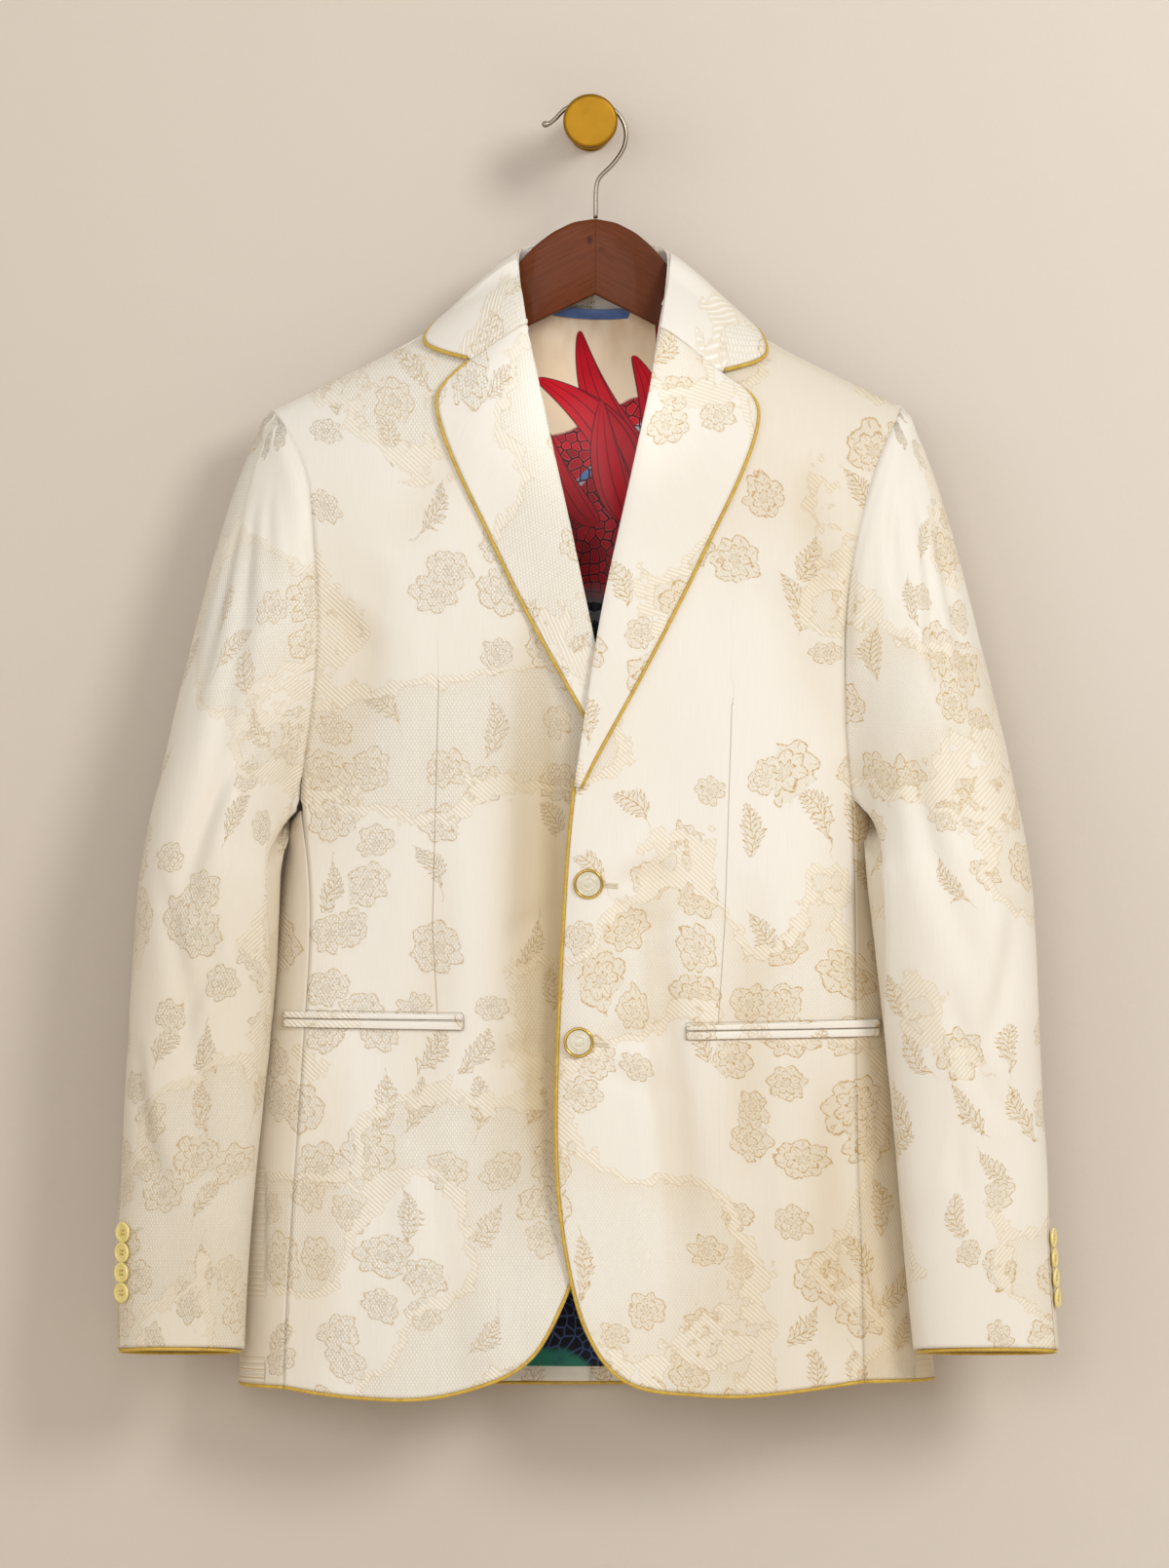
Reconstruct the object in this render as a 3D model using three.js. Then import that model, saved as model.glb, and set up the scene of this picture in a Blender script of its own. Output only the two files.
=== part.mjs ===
// Single-breasted jacquard blazer with gold piping on a wooden hanger, hung from a round wall peg.
// Millimetres, +Z up, +Y towards the wall. The origin is the centre of the peg's wall plate.
import * as THREE from "three";

// Driving sizes
const CLOTH = 1.8;
const LINING = 1.0;
const LINING_GAP = 0.7;
const SEAM = 0.35;
const PIPE_R = 1.3;
const HANG_Y = -60;
const MID_Y = -60;
const SHOULDER_ROUND = 130;
const FRONT_POWER = 2.6;
const BACK_POWER = 3.2;
const LAPEL_LIFT = 1.7;
const LAPEL_ROLL = 3.2;
const WELT_LIFT = 1.0;
const WELT_THICK = 1.2;
const FRONT_BUTTON_R = 10.5;
const CUFF_BUTTON_R = 6.7;
const CUFF_BUTTON_PITCH = 13.9;
const CUFF_BUTTON_TOP = -771.4;
const CAP_ROWS = 7;
const HOOK_WIRE_R = 1.6;
const PEG_DISC_R = 19;
const PEG_STEM_R = 12.9;

// Top line of the shoulders, the same each side of the neck.
const SHOULDER_LINE = [
  { x: 0, z: -97 },
  { x: 56, z: -105 },
  { x: 80, z: -122 },
  { x: 112, z: -147 },
  { x: 135, z: -158 },
  { x: 163, z: -172 },
  { x: 190, z: -185 },
  { x: 224, z: -202 },
  { x: 290, z: -240 },
];

// Half widths and half depths of the hanging body.
const BODY = [
  { z: -90, right: 275, left: 270, front: 54, back: 48 },
  { z: -200, right: 266, left: 258, front: 57, back: 49 },
  { z: -300, right: 244, left: 232, front: 58, back: 50 },
  { z: -400, right: 219, left: 206, front: 58, back: 50 },
  { z: -470, right: 208, left: 195, front: 56, back: 49 },
  { z: -530, right: 215, left: 198, front: 53, back: 47 },
  { z: -620, right: 227, left: 210, front: 51, back: 46 },
  { z: -720, right: 237, left: 222, front: 51, back: 47 },
  { z: -800, right: 243, left: 234, front: 52, back: 48 },
  { z: -900, right: 247, left: 244, front: 52, back: 49 },
];

// Armhole and side seams of the fronts, by height.
const RIGHT_SEAM = [
  { z: -200, x: -223.7 },
  { z: -208, x: -216.5 },
  { z: -222, x: -206.8 },
  { z: -249, x: -195.5 },
  { z: -296, x: -190.2 },
  { z: -350, x: -188.2 },
  { z: -418, x: -193.3 },
  { z: -470, x: -202.6 },
  { z: -502, x: -197.2 },
  { z: -534, x: -194.8 },
  { z: -578, x: -195.1 },
  { z: -631, x: -199.0 },
  { z: -678, x: -201.9 },
  { z: -745, x: -206.6 },
  { z: -835, x: -212.0 },
  { z: -900, x: -214.0 },
];
const LEFT_SEAM = [
  { z: -200, x: 217.0 },
  { z: -210, x: 213.0 },
  { z: -229, x: 203.4 },
  { z: -254, x: 194.2 },
  { z: -279, x: 186.0 },
  { z: -310, x: 178.6 },
  { z: -350, x: 173.8 },
  { z: -410, x: 175.2 },
  { z: -458, x: 178.5 },
  { z: -475, x: 183.0 },
  { z: -522, x: 184.3 },
  { z: -626, x: 185.0 },
  { z: -701, x: 185.3 },
  { z: -790, x: 188.3 },
  { z: -900, x: 190.6 },
];
const BACK_SEAM = [
  { z: -200, right: 223.7, left: 217 },
  { z: -230, right: 209, left: 203 },
  { z: -280, right: 200, left: 192 },
  { z: -350, right: 195, left: 185 },
  { z: -420, right: 192, left: 180 },
  { z: -475, right: 190, left: 178 },
  { z: -560, right: 188, left: 177 },
  { z: -700, right: 194, left: 184 },
  { z: -900, right: 204, left: 196 },
];

// Roll line above and piped front edge below, by height.
const LEFT_EDGE = [
  { z: -100, x: 57.5 },
  { z: -125, x: 51.0 },
  { z: -146, x: 47.1 },
  { z: -185, x: 42.4 },
  { z: -229, x: 33.0 },
  { z: -290, x: 19.5 },
  { z: -332, x: 10.1 },
  { z: -364, x: 4.3 },
  { z: -390, x: 0.0 },
  { z: -429, x: -4.8 },
  { z: -468, x: -10.5 },
  { z: -491, x: -13.3 },
  { z: -515, x: -14.7 },
  { z: -571, x: -18.0 },
  { z: -614, x: -20.0 },
  { z: -667, x: -22.1 },
  { z: -712, x: -22.7 },
  { z: -755, x: -20.0 },
  { z: -780, x: -16.7 },
  { z: -811, x: -10.6 },
  { z: -835, x: -3.9 },
  { z: -851, x: 4.4 },
];
const RIGHT_EDGE = [
  { z: -100, x: -57.5 },
  { z: -125, x: -50.0 },
  { z: -143, x: -44.5 },
  { z: -216, x: -29.7 },
  { z: -290, x: -12.8 },
  { z: -332, x: -4.1 },
  { z: -365, x: 3.3 },
  { z: -410, x: 10.0 },
  { z: -460, x: 14.0 },
  { z: -560, x: 15.0 },
  { z: -680, x: 13.0 },
  { z: -750, x: 5.0 },
  { z: -790, x: -7.5 },
  { z: -813, x: -18.1 },
  { z: -830, x: -24.5 },
  { z: -843, x: -31.5 },
];
const LEFT_HEM = [
  { x: 4.4, z: -851 },
  { x: 11.5, z: -862.5 },
  { x: 20.0, z: -871.5 },
  { x: 31.5, z: -877.8 },
  { x: 45.0, z: -881.2 },
  { x: 76.0, z: -883.2 },
  { x: 99.0, z: -885.0 },
  { x: 137.0, z: -881.6 },
  { x: 193.0, z: -873.8 },
  { x: 250.0, z: -870.2 },
];
const RIGHT_HEM = [
  { x: -250.0, z: -873.0 },
  { x: -220.0, z: -877.4 },
  { x: -193.0, z: -882.2 },
  { x: -160.0, z: -885.9 },
  { x: -126.0, z: -886.9 },
  { x: -104.0, z: -885.2 },
  { x: -82.0, z: -878.8 },
  { x: -60.0, z: -870.9 },
  { x: -48.5, z: -864.5 },
  { x: -40.0, z: -857.0 },
  { x: -31.5, z: -843.0 },
];
const BACK_HEM = [
  { x: -250, z: -873.0 },
  { x: -120, z: -880.5 },
  { x: 0, z: -881.2 },
  { x: 120, z: -879.5 },
  { x: 250, z: -870.2 },
];

// Lapels: each row joins a point on the roll line to a point on the outer edge.
const RIGHT_LAPEL = [
  { rollX: -44.8, rollZ: -144.8, edgeX: -82.6, edgeZ: -170.0 },
  { rollX: -43.5, rollZ: -151, edgeX: -94.8, edgeZ: -179.8 },
  { rollX: -42.0, rollZ: -158, edgeX: -104.0, edgeZ: -190.6 },
  { rollX: -40.0, rollZ: -167, edgeX: -105.4, edgeZ: -199.5 },
  { rollX: -36.0, rollZ: -186, edgeX: -99.4, edgeZ: -222 },
  { rollX: -29.9, rollZ: -215, edgeX: -86.8, edgeZ: -252 },
  { rollX: -23.0, rollZ: -246, edgeX: -70.8, edgeZ: -283 },
  { rollX: -14.0, rollZ: -285, edgeX: -52.2, edgeZ: -323.5 },
  { rollX: -6.8, rollZ: -320, edgeX: -34.0, edgeZ: -358 },
  { rollX: -1.0, rollZ: -348, edgeX: -15.4, edgeZ: -391 },
  { rollX: 3.0, rollZ: -368, edgeX: -1.6, edgeZ: -415.0 },
  { rollX: 5.6, rollZ: -382, edgeX: 1.4, edgeZ: -421.0 },
];
const LEFT_LAPEL = [
  { rollX: 50.0, rollZ: -147.6, edgeX: 90.0, edgeZ: -178.8 },
  { rollX: 48.2, rollZ: -153, edgeX: 106.2, edgeZ: -189.4 },
  { rollX: 46.4, rollZ: -160, edgeX: 113.6, edgeZ: -197.4 },
  { rollX: 44.6, rollZ: -170, edgeX: 115.4, edgeZ: -207.6 },
  { rollX: 42.2, rollZ: -187, edgeX: 110.2, edgeZ: -228.5 },
  { rollX: 36.0, rollZ: -215, edgeX: 97.6, edgeZ: -258.5 },
  { rollX: 29.6, rollZ: -245, edgeX: 81.4, edgeZ: -290.5 },
  { rollX: 22.0, rollZ: -279, edgeX: 65.2, edgeZ: -325.6 },
  { rollX: 13.8, rollZ: -316, edgeX: 44.4, edgeZ: -365.2 },
  { rollX: 5.6, rollZ: -357, edgeX: 23.6, edgeZ: -404.4 },
  { rollX: -1.4, rollZ: -403, edgeX: 2.8, edgeZ: -441.2 },
  { rollX: -9.4, rollZ: -463, edgeX: -8.2, edgeZ: -463.5 },
];

// Collar from the gorge round the back of the neck, for the wearer's right half.
const COLLAR = [
  { foldX: -44.8, foldZ: -142.0, foldY: 0, edgeX: -81.6, edgeZ: -165.8, edgeY: 0 },
  { foldX: -45.8, foldZ: -134, foldY: 0, edgeX: -97, edgeZ: -161.8, edgeY: 0 },
  { foldX: -47.2, foldZ: -122, foldY: 0, edgeX: -111.6, edgeZ: -155.8, edgeY: 0 },
  { foldX: -49.2, foldZ: -108, foldY: 0, edgeX: -112.6, edgeZ: -150.4, edgeY: 0 },
  { foldX: -51, foldZ: -97, foldY: -74, edgeX: -110, edgeZ: -143.2, edgeY: -66 },
  { foldX: -50, foldZ: -91, foldY: -60, edgeX: -100, edgeZ: -133.5, edgeY: -48 },
  { foldX: -42, foldZ: -86, foldY: -46, edgeX: -78, edgeZ: -129.5, edgeY: -31 },
  { foldX: -23, foldZ: -82, foldY: -35, edgeX: -44, edgeZ: -134, edgeY: -20 },
  { foldX: 0, foldZ: -80, foldY: -31, edgeX: 0, edgeZ: -137, edgeY: -16.5 },
];
const STAND = [
  { topX: -46.0, topZ: -123, topY: -88, baseX: -47.2, baseZ: -128, baseY: -88 },
  { topX: -47.6, topZ: -109, topY: -80, baseX: -49.8, baseZ: -116, baseY: -80 },
  { topX: -48.6, topZ: -98, topY: -73, baseX: -51.8, baseZ: -107, baseY: -72 },
  { topX: -48.4, topZ: -93.6, topY: -66, baseX: -50.6, baseZ: -98.6, baseY: -66.5 },
  { topX: -47.6, topZ: -89, topY: -57, baseX: -49.6, baseZ: -94.4, baseY: -56 },
  { topX: -44.5, topZ: -87.6, topY: -50, baseX: -49.0, baseZ: -103, baseY: -49 },
  { topX: -40.0, topZ: -87, topY: -46.5, baseX: -44, baseZ: -107, baseY: -45 },
  { topX: -22.6, topZ: -83.4, topY: -37, baseX: -26, baseZ: -113.8, baseY: -37.6 },
  { topX: 0, topZ: -81.6, topY: -33.2, baseX: 0, baseZ: -116.4, baseY: -34.6 },
];

// Sleeves by height: outer and inner edge, middle of the depth and half depth.
const RIGHT_SLEEVE = [
  { z: -526, outer: 315.5, inner: 214.5, mid: -90, deep: 43 },
  { z: -594, outer: 319.6, inner: 218.5, mid: -92, deep: 41 },
  { z: -662, outer: 323.7, inner: 224.2, mid: -94, deep: 38 },
  { z: -730, outer: 327.7, inner: 230.7, mid: -96, deep: 35 },
  { z: -798, outer: 330.6, inner: 236.5, mid: -98, deep: 32 },
  { z: -851, outer: 329.6, inner: 238.9, mid: -99, deep: 30 },
];
const LEFT_SLEEVE = [
  { z: -526, outer: 307.0, inner: 191.0, mid: -98, deep: 45 },
  { z: -594, outer: 310.5, inner: 198.4, mid: -101, deep: 43 },
  { z: -662, outer: 314.0, inner: 205.4, mid: -104, deep: 40 },
  { z: -730, outer: 317.5, inner: 211.6, mid: -104, deep: 36 },
  { z: -798, outer: 321.3, inner: 217.2, mid: -104, deep: 33 },
  { z: -851, outer: 325.8, inner: 222.8, mid: -104, deep: 31 },
];

// Soft drape folds of the fronts and the back: place, height range, width and depth.
const FRONT_FOLDS = [
  { x: -72, lean: -0.02, top: -520, bottom: -900, wide: 20, deep: 3.2 },
  { x: -150, lean: 0.04, top: -600, bottom: -900, wide: 24, deep: -3.0 },
  { x: 62, lean: 0.03, top: -560, bottom: -900, wide: 22, deep: -2.8 },
  { x: 140, lean: -0.02, top: -620, bottom: -900, wide: 26, deep: 3.0 },
  { x: -138, lean: 0.1, top: -230, bottom: -480, wide: 26, deep: -2.6 },
  { x: 138, lean: -0.1, top: -240, bottom: -470, wide: 24, deep: -2.4 },
];
const BACK_FOLDS = [
  { x: -95, lean: 0.05, top: -420, bottom: -900, wide: 30, deep: 4 },
  { x: 70, lean: -0.03, top: -460, bottom: -900, wide: 26, deep: 3.4 },
  { x: 150, lean: -0.05, top: -300, bottom: -900, wide: 24, deep: -3 },
];

// Wire of the hook from its ball tip over the peg and down to the wood.
const HOOK_PATH = [
  { x: -33.8, z: -1.0 },
  { x: -33.0, z: -0.9 },
  { x: -31.4, z: -0.8 },
  { x: -29.8, z: -0.7 },
  { x: -28.6, z: -0.4 },
  { x: -25.2, z: 2.0 },
  { x: -22.2, z: 5.4 },
  { x: -18.6, z: 9.4 },
  { x: -12.0, z: 13.2 },
  { x: -4.4, z: 15.0 },
  { x: 3.6, z: 15.2 },
  { x: 12.0, z: 12.8 },
  { x: 19.2, z: 7.4 },
  { x: 24.0, z: -0.2 },
  { x: 25.4, z: -8.2 },
  { x: 24.2, z: -15.8 },
  { x: 21.6, z: -21.2 },
  { x: 15.6, z: -29.4 },
  { x: 8.8, z: -35.2 },
  { x: 5.2, z: -39.4 },
  { x: 3.9, z: -45.0 },
  { x: 3.7, z: -56.0 },
  { x: 3.7, z: -66.6 },
];

// Wooden arms: top, bottom and half thickness at each station.
const WOOD = [
  { x: -206, top: -200.2, bottom: -212, half: 9 },
  { x: -196, top: -192.2, bottom: -219, half: 12 },
  { x: -160, top: -174.6, bottom: -208, half: 12 },
  { x: -112, top: -151, bottom: -188, half: 11 },
  { x: -80, top: -126, bottom: -167, half: 9 },
  { x: -60, top: -113, bottom: -152, half: 5.8 },
  { x: -53, top: -107.6, bottom: -147, half: 5.8 },
  { x: -47, top: -93.6, bottom: -142.8, half: 6.2 },
  { x: -38, top: -85, bottom: -137.6, half: 7.2 },
  { x: -26, top: -76, bottom: -130, half: 7 },
  { x: -12, top: -69.4, bottom: -122.8, half: 7 },
  { x: 3.4, top: -67.1, bottom: -119.6, half: 7 },
  { x: 18, top: -69.8, bottom: -125.4, half: 7 },
  { x: 32, top: -77, bottom: -133.6, half: 7 },
  { x: 44, top: -87.4, bottom: -140.6, half: 6.2 },
  { x: 51, top: -97.6, bottom: -144.6, half: 5.8 },
  { x: 57, top: -112.6, bottom: -149, half: 5.8 },
  { x: 66, top: -117, bottom: -156, half: 5.8 },
  { x: 84, top: -129.2, bottom: -169, half: 9 },
  { x: 112, top: -151, bottom: -188, half: 11 },
  { x: 160, top: -174.6, bottom: -208, half: 12 },
  { x: 190, top: -189.2, bottom: -216, half: 12 },
  { x: 200, top: -197.2, bottom: -210, half: 9 },
];

// Double-welt pockets: outline of the pair and the slit between them.
const POCKETS = {
  right: [
    { x: -213, top: -619.4, slit: -624.1, bottom: -630.2 },
    { x: -87.6, top: -621.4, slit: -624.9, bottom: -631.9 },
  ],
  left: [
    { x: 66, top: -628.9, slit: -632.2, bottom: -638.3 },
    { x: 200.8, top: -624.8, slit: -630.9, bottom: -636.6 },
  ],
};

const IVORY = { color: 0xf0e8d8, roughness: 0.6, metalness: 0 };
const SATIN = { color: 0xf0d9b0, roughness: 0.35, metalness: 0 };
const GOLD_CORD = { color: 0xc9a227, roughness: 0.5, metalness: 0 };
const BLUE = { color: 0x3f5f96, roughness: 0.45, metalness: 0 };
const PEARL = { color: 0xe9e2cc, roughness: 0.3, metalness: 0.3 };
const BUTTER = { color: 0xe8cf6a, roughness: 0.2, metalness: 0 };
const MAHOGANY = { color: 0x6b3218, roughness: 0.35, metalness: 0 };
const STEEL = { color: 0xa89f90, roughness: 0.3, metalness: 1 };
const BRASS = { color: 0xb98a2b, roughness: 0.4, metalness: 1 };

const part = new THREE.Group();

// Smooth value of one column of a table at a place in another column.
function column(rows, key, name, at) {
  const rising = rows[rows.length - 1][key] > rows[0][key];
  let i = 0;
  while (i < rows.length - 2 && (rising ? rows[i + 1][key] < at : rows[i + 1][key] > at)) i += 1;
  const a = rows[i];
  const b = rows[i + 1];
  const before = rows[i - 1] || a;
  const after = rows[i + 2] || b;
  const span = b[key] - a[key];
  const t = THREE.MathUtils.clamp((at - a[key]) / span, 0, 1);
  const slopeA = ((b[name] - before[name]) / (b[key] - before[key])) * span;
  const slopeB = ((after[name] - a[name]) / (after[key] - a[key])) * span;
  const t2 = t * t;
  const t3 = t2 * t;
  return (
    (2 * t3 - 3 * t2 + 1) * a[name] +
    (t3 - 2 * t2 + t) * slopeA +
    (3 * t2 - 2 * t3) * b[name] +
    (t3 - t2) * slopeB
  );
}

function straight(rows, key, name, at) {
  const rising = rows[rows.length - 1][key] > rows[0][key];
  let i = 0;
  while (i < rows.length - 2 && (rising ? rows[i + 1][key] < at : rows[i + 1][key] > at)) i += 1;
  const a = rows[i];
  const b = rows[i + 1];
  const t = THREE.MathUtils.clamp((at - a[key]) / (b[key] - a[key]), 0, 1);
  return a[name] + (b[name] - a[name]) * t;
}

const bump = (value) => Math.exp(-value * value);
const smooth = (value, low, high) => THREE.MathUtils.smoothstep(value, low, high);
const shoulderZ = (x) => straight(SHOULDER_LINE, "x", "z", Math.abs(x));

function foldDepth(folds, x, z) {
  let depth = 0;
  for (const fold of folds) {
    const across = (x - fold.x - fold.lean * (z - fold.top)) / fold.wide;
    const along = smooth(-z, -fold.top, -fold.top + 140);
    const fade = fold.bottom < -890 ? 1 : 1 - smooth(-z, -fold.bottom - 90, -fold.bottom);
    depth += fold.deep * bump(across) * along * fade;
  }
  return depth;
}

// Depth of the body section, 0 on the shoulder line and at the side, 1 at the middle.
function fullness(x, z, power) {
  const half = column(BODY, "z", x < 0 ? "right" : "left", z);
  const ratio = Math.min(Math.abs(x) / half, 1);
  const across = Math.pow(1 - Math.pow(ratio, power), 1 / power);
  const drop = THREE.MathUtils.clamp((shoulderZ(x) - z) / SHOULDER_ROUND, 0, 1);
  return across * Math.sqrt(1 - (1 - drop) * (1 - drop));
}

function frontY(x, z) {
  const full = fullness(x, z, FRONT_POWER);
  return MID_Y - column(BODY, "z", "front", z) * full - foldDepth(FRONT_FOLDS, x, z) * full;
}

function backY(x, z) {
  const full = fullness(x, z, BACK_POWER);
  return MID_Y + column(BODY, "z", "back", z) * full - Math.abs(foldDepth(BACK_FOLDS, x, z)) * full;
}

// The wearer's left front lies over the right one near the middle.
function overY(x, z) {
  const lap = (1 - smooth(x, 24, 62)) * smooth(-z, 280, 340);
  const crossing = (1 - smooth(x, 12, 44)) * bump((z + 392) / 90);
  return frontY(x, z) - 3.0 * lap - 4.0 * crossing;
}

const vec = (x, y, z) => new THREE.Vector3(x, y, z);

// Point off a surface y(x, z), moved along its normal; out is -1 for the front, 1 for the back.
function offSurface(surface, x, z, lift, out) {
  const step = 1.5;
  const dx = (surface(x + step, z) - surface(x - step, z)) / (2 * step);
  const dz = (surface(x, z + step) - surface(x, z - step)) / (2 * step);
  const normal = vec(-dx, 1, -dz).normalize().multiplyScalar(out * lift);
  return vec(x, surface(x, z), z).add(normal);
}

function addSolid(name, points, triangles, look) {
  let volume = 0;
  for (const [a, b, c] of triangles) {
    volume += points[a].dot(points[b].clone().cross(points[c]));
  }
  const positions = points.flatMap((p) => [p.x, p.y, p.z]);
  const index = triangles.flatMap(([a, b, c]) => (volume < 0 ? [a, c, b] : [a, b, c]));
  const geometry = new THREE.BufferGeometry();
  geometry.setAttribute("position", new THREE.Float32BufferAttribute(positions, 3));
  geometry.setIndex(index);
  geometry.computeVertexNormals();
  const mesh = new THREE.Mesh(geometry, new THREE.MeshStandardMaterial(look));
  mesh.name = name;
  part.add(mesh);
}

// Closed sheet between two grids of points with the same rows and columns.
function addSheet(name, outer, inner, look) {
  const rows = outer.length;
  const columns = outer[0].length;
  const points = [...outer.flat(), ...inner.flat()];
  const shift = rows * columns;
  const at = (i, j) => i * columns + j;
  const triangles = [];
  for (let i = 0; i < rows - 1; i += 1) {
    for (let j = 0; j < columns - 1; j += 1) {
      const [a, b, c, d] = [at(i, j), at(i, j + 1), at(i + 1, j + 1), at(i + 1, j)];
      triangles.push([a, b, c], [a, c, d]);
      triangles.push([a + shift, c + shift, b + shift], [a + shift, d + shift, c + shift]);
    }
  }
  const rim = [];
  for (let j = 0; j < columns - 1; j += 1) rim.push(at(0, j));
  for (let i = 0; i < rows - 1; i += 1) rim.push(at(i, columns - 1));
  for (let j = columns - 1; j > 0; j -= 1) rim.push(at(rows - 1, j));
  for (let i = rows - 1; i > 0; i -= 1) rim.push(at(i, 0));
  rim.forEach((a, k) => {
    const b = rim[(k + 1) % rim.length];
    triangles.push([a, b + shift, b], [a, a + shift, b + shift]);
  });
  addSolid(name, points, triangles, look);
}

// Unit normals of a grid, turned to the side that the guide vector of each point names.
function gridNormals(grid, guide) {
  const rows = grid.length;
  const columns = grid[0].length;
  return grid.map((row, i) =>
    row.map((point, j) => {
      const down = grid[Math.min(i + 1, rows - 1)][j].clone().sub(grid[Math.max(i - 1, 0)][j]);
      const across = row[Math.min(j + 1, columns - 1)].clone().sub(row[Math.max(j - 1, 0)]);
      const normal = down.cross(across).normalize();
      return normal.dot(guide(point)) < 0 ? normal.negate() : normal;
    }),
  );
}

// Unit normal of the body at a point, from the rounded section it lies on.
function bodyNormal(surface, power, point) {
  const level = (x, y, z) => {
    const half = column(BODY, "z", x < 0 ? "right" : "left", z);
    const held = THREE.MathUtils.clamp(x, -0.96 * half, 0.96 * half);
    const across = Math.pow(1 - Math.pow(Math.abs(held) / half, power), 1 / power);
    const deep = Math.max(Math.abs(surface(held, z) - MID_Y) / across, 0.05);
    return Math.pow(Math.abs(x) / half, power) + Math.pow(Math.abs(y - MID_Y) / deep, power);
  };
  const step = 0.4;
  const { x, y, z } = point;
  return vec(
    level(x + step, y, z) - level(x - step, y, z),
    level(x, y + step, z) - level(x, y - step, z),
    level(x, y, z + step) - level(x, y, z - step),
  ).normalize();
}

// Along the shoulder seam the normals stand upright, so front and back meet edge to edge.
function panelNormals(grid, surface, power) {
  return grid.map((row, i) =>
    row.map((point) =>
      i === 0 && Math.abs(point.x) > 54 ? vec(0, 0, 1) : bodyNormal(surface, power, point),
    ),
  );
}

const shifted = (grid, normals, lift) =>
  grid.map((row, i) => row.map((p, j) => p.clone().addScaledVector(normals[i][j], lift)));

// Closed solid through rings of equal point counts.
function addLoft(name, rings, look) {
  const count = rings[0].length;
  const points = rings.flat();
  const triangles = [];
  for (let i = 0; i < rings.length - 1; i += 1) {
    for (let j = 0; j < count; j += 1) {
      const a = i * count + j;
      const b = i * count + ((j + 1) % count);
      triangles.push([a, b, b + count], [a, b + count, a + count]);
    }
  }
  const middle = (ring) => ring.reduce((sum, p) => sum.add(p), vec(0, 0, 0)).divideScalar(count);
  points.push(middle(rings[0]), middle(rings[rings.length - 1]));
  const last = (rings.length - 1) * count;
  for (let j = 0; j < count; j += 1) {
    const next = (j + 1) % count;
    triangles.push([points.length - 2, next, j]);
    triangles.push([points.length - 1, last + j, last + next]);
  }
  addSolid(name, points, triangles, look);
}

// Round cord or wire through a line of points.
function addCord(name, path, radius, sides, look, guide) {
  const rings = path.map((point, i) => {
    const ahead = path[Math.min(i + 1, path.length - 1)];
    const behind = path[Math.max(i - 1, 0)];
    const along = ahead.clone().sub(behind).normalize();
    const side = along.clone().cross(guide).normalize();
    const up = side.clone().cross(along).normalize();
    const thick = Array.isArray(radius) ? radius[Math.min(i, radius.length - 1)] : radius;
    return Array.from({ length: sides }, (_, k) => {
      const turn = (2 * Math.PI * (k + 0.5)) / sides;
      return point
        .clone()
        .addScaledVector(side, thick * Math.cos(turn))
        .addScaledVector(up, thick * Math.sin(turn));
    });
  });
  addLoft(name, rings, look);
}

// Turned piece: rings of the profile along an axis.
function addTurned(name, centre, axis, profile, sides, look) {
  const along = axis.clone().normalize();
  const across = vec(0, 0, 1).cross(along).normalize();
  const up = along.clone().cross(across);
  const rings = profile.map(({ radius, out }) =>
    Array.from({ length: sides }, (_, k) => {
      const turn = (2 * Math.PI * k) / sides;
      return centre
        .clone()
        .addScaledVector(along, out)
        .addScaledVector(across, radius * Math.cos(turn))
        .addScaledVector(up, radius * Math.sin(turn));
    }),
  );
  addLoft(name, rings, look);
}

// x where a seam table crosses a row of the panel.
function meeting(table, rowZ, low, high) {
  const miss = (x) => x - column(table, "z", "x", rowZ(x));
  let a = low;
  let b = high;
  for (let n = 0; n < 50; n += 1) {
    const x = (a + b) / 2;
    if (miss(x) < 0) a = x;
    else b = x;
  }
  return (a + b) / 2;
}

// Rows of the panels as shares of the height; row ARMHOLE_ROWS is where the side seams start.
const DROPS = [
  0, 0.004, 0.014, 0.032, 0.06, 0.1, 0.15, 0.205, 0.26, 0.315, 0.37, 0.42, 0.48, 0.54, 0.6, 0.66,
  0.72, 0.78, 0.83, 0.875, 0.915, 0.95, 0.977, 1,
];
const ARMHOLE_ROWS = 11;

function frontPanel(side) {
  const right = side < 0;
  const surface = right ? frontY : overY;
  const edge = right ? RIGHT_EDGE : LEFT_EDGE;
  const seam = right ? RIGHT_SEAM : LEFT_SEAM;
  const hem = right ? RIGHT_HEM : LEFT_HEM;
  const columns = 11;
  return DROPS.map((drop) => {
    const rowZ = (x) => {
      const top = shoulderZ(x);
      return top - drop * (top - straight(hem, "x", "z", x));
    };
    const edgeX = right ? meeting(edge, rowZ, -90, 40) : meeting(edge, rowZ, -40, 90);
    const seamX = right ? meeting(seam, rowZ, -260, -150) : meeting(seam, rowZ, 150, 260);
    return Array.from({ length: columns + 1 }, (_, j) => {
      const share = Math.pow(j / columns, 1.35);
      const x = edgeX + (seamX - side * SEAM - edgeX) * share;
      const z = rowZ(x);
      const gap = drop === 0 ? 0.2 : 0;
      return vec(x, surface(x, z) - gap, z);
    });
  });
}

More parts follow.
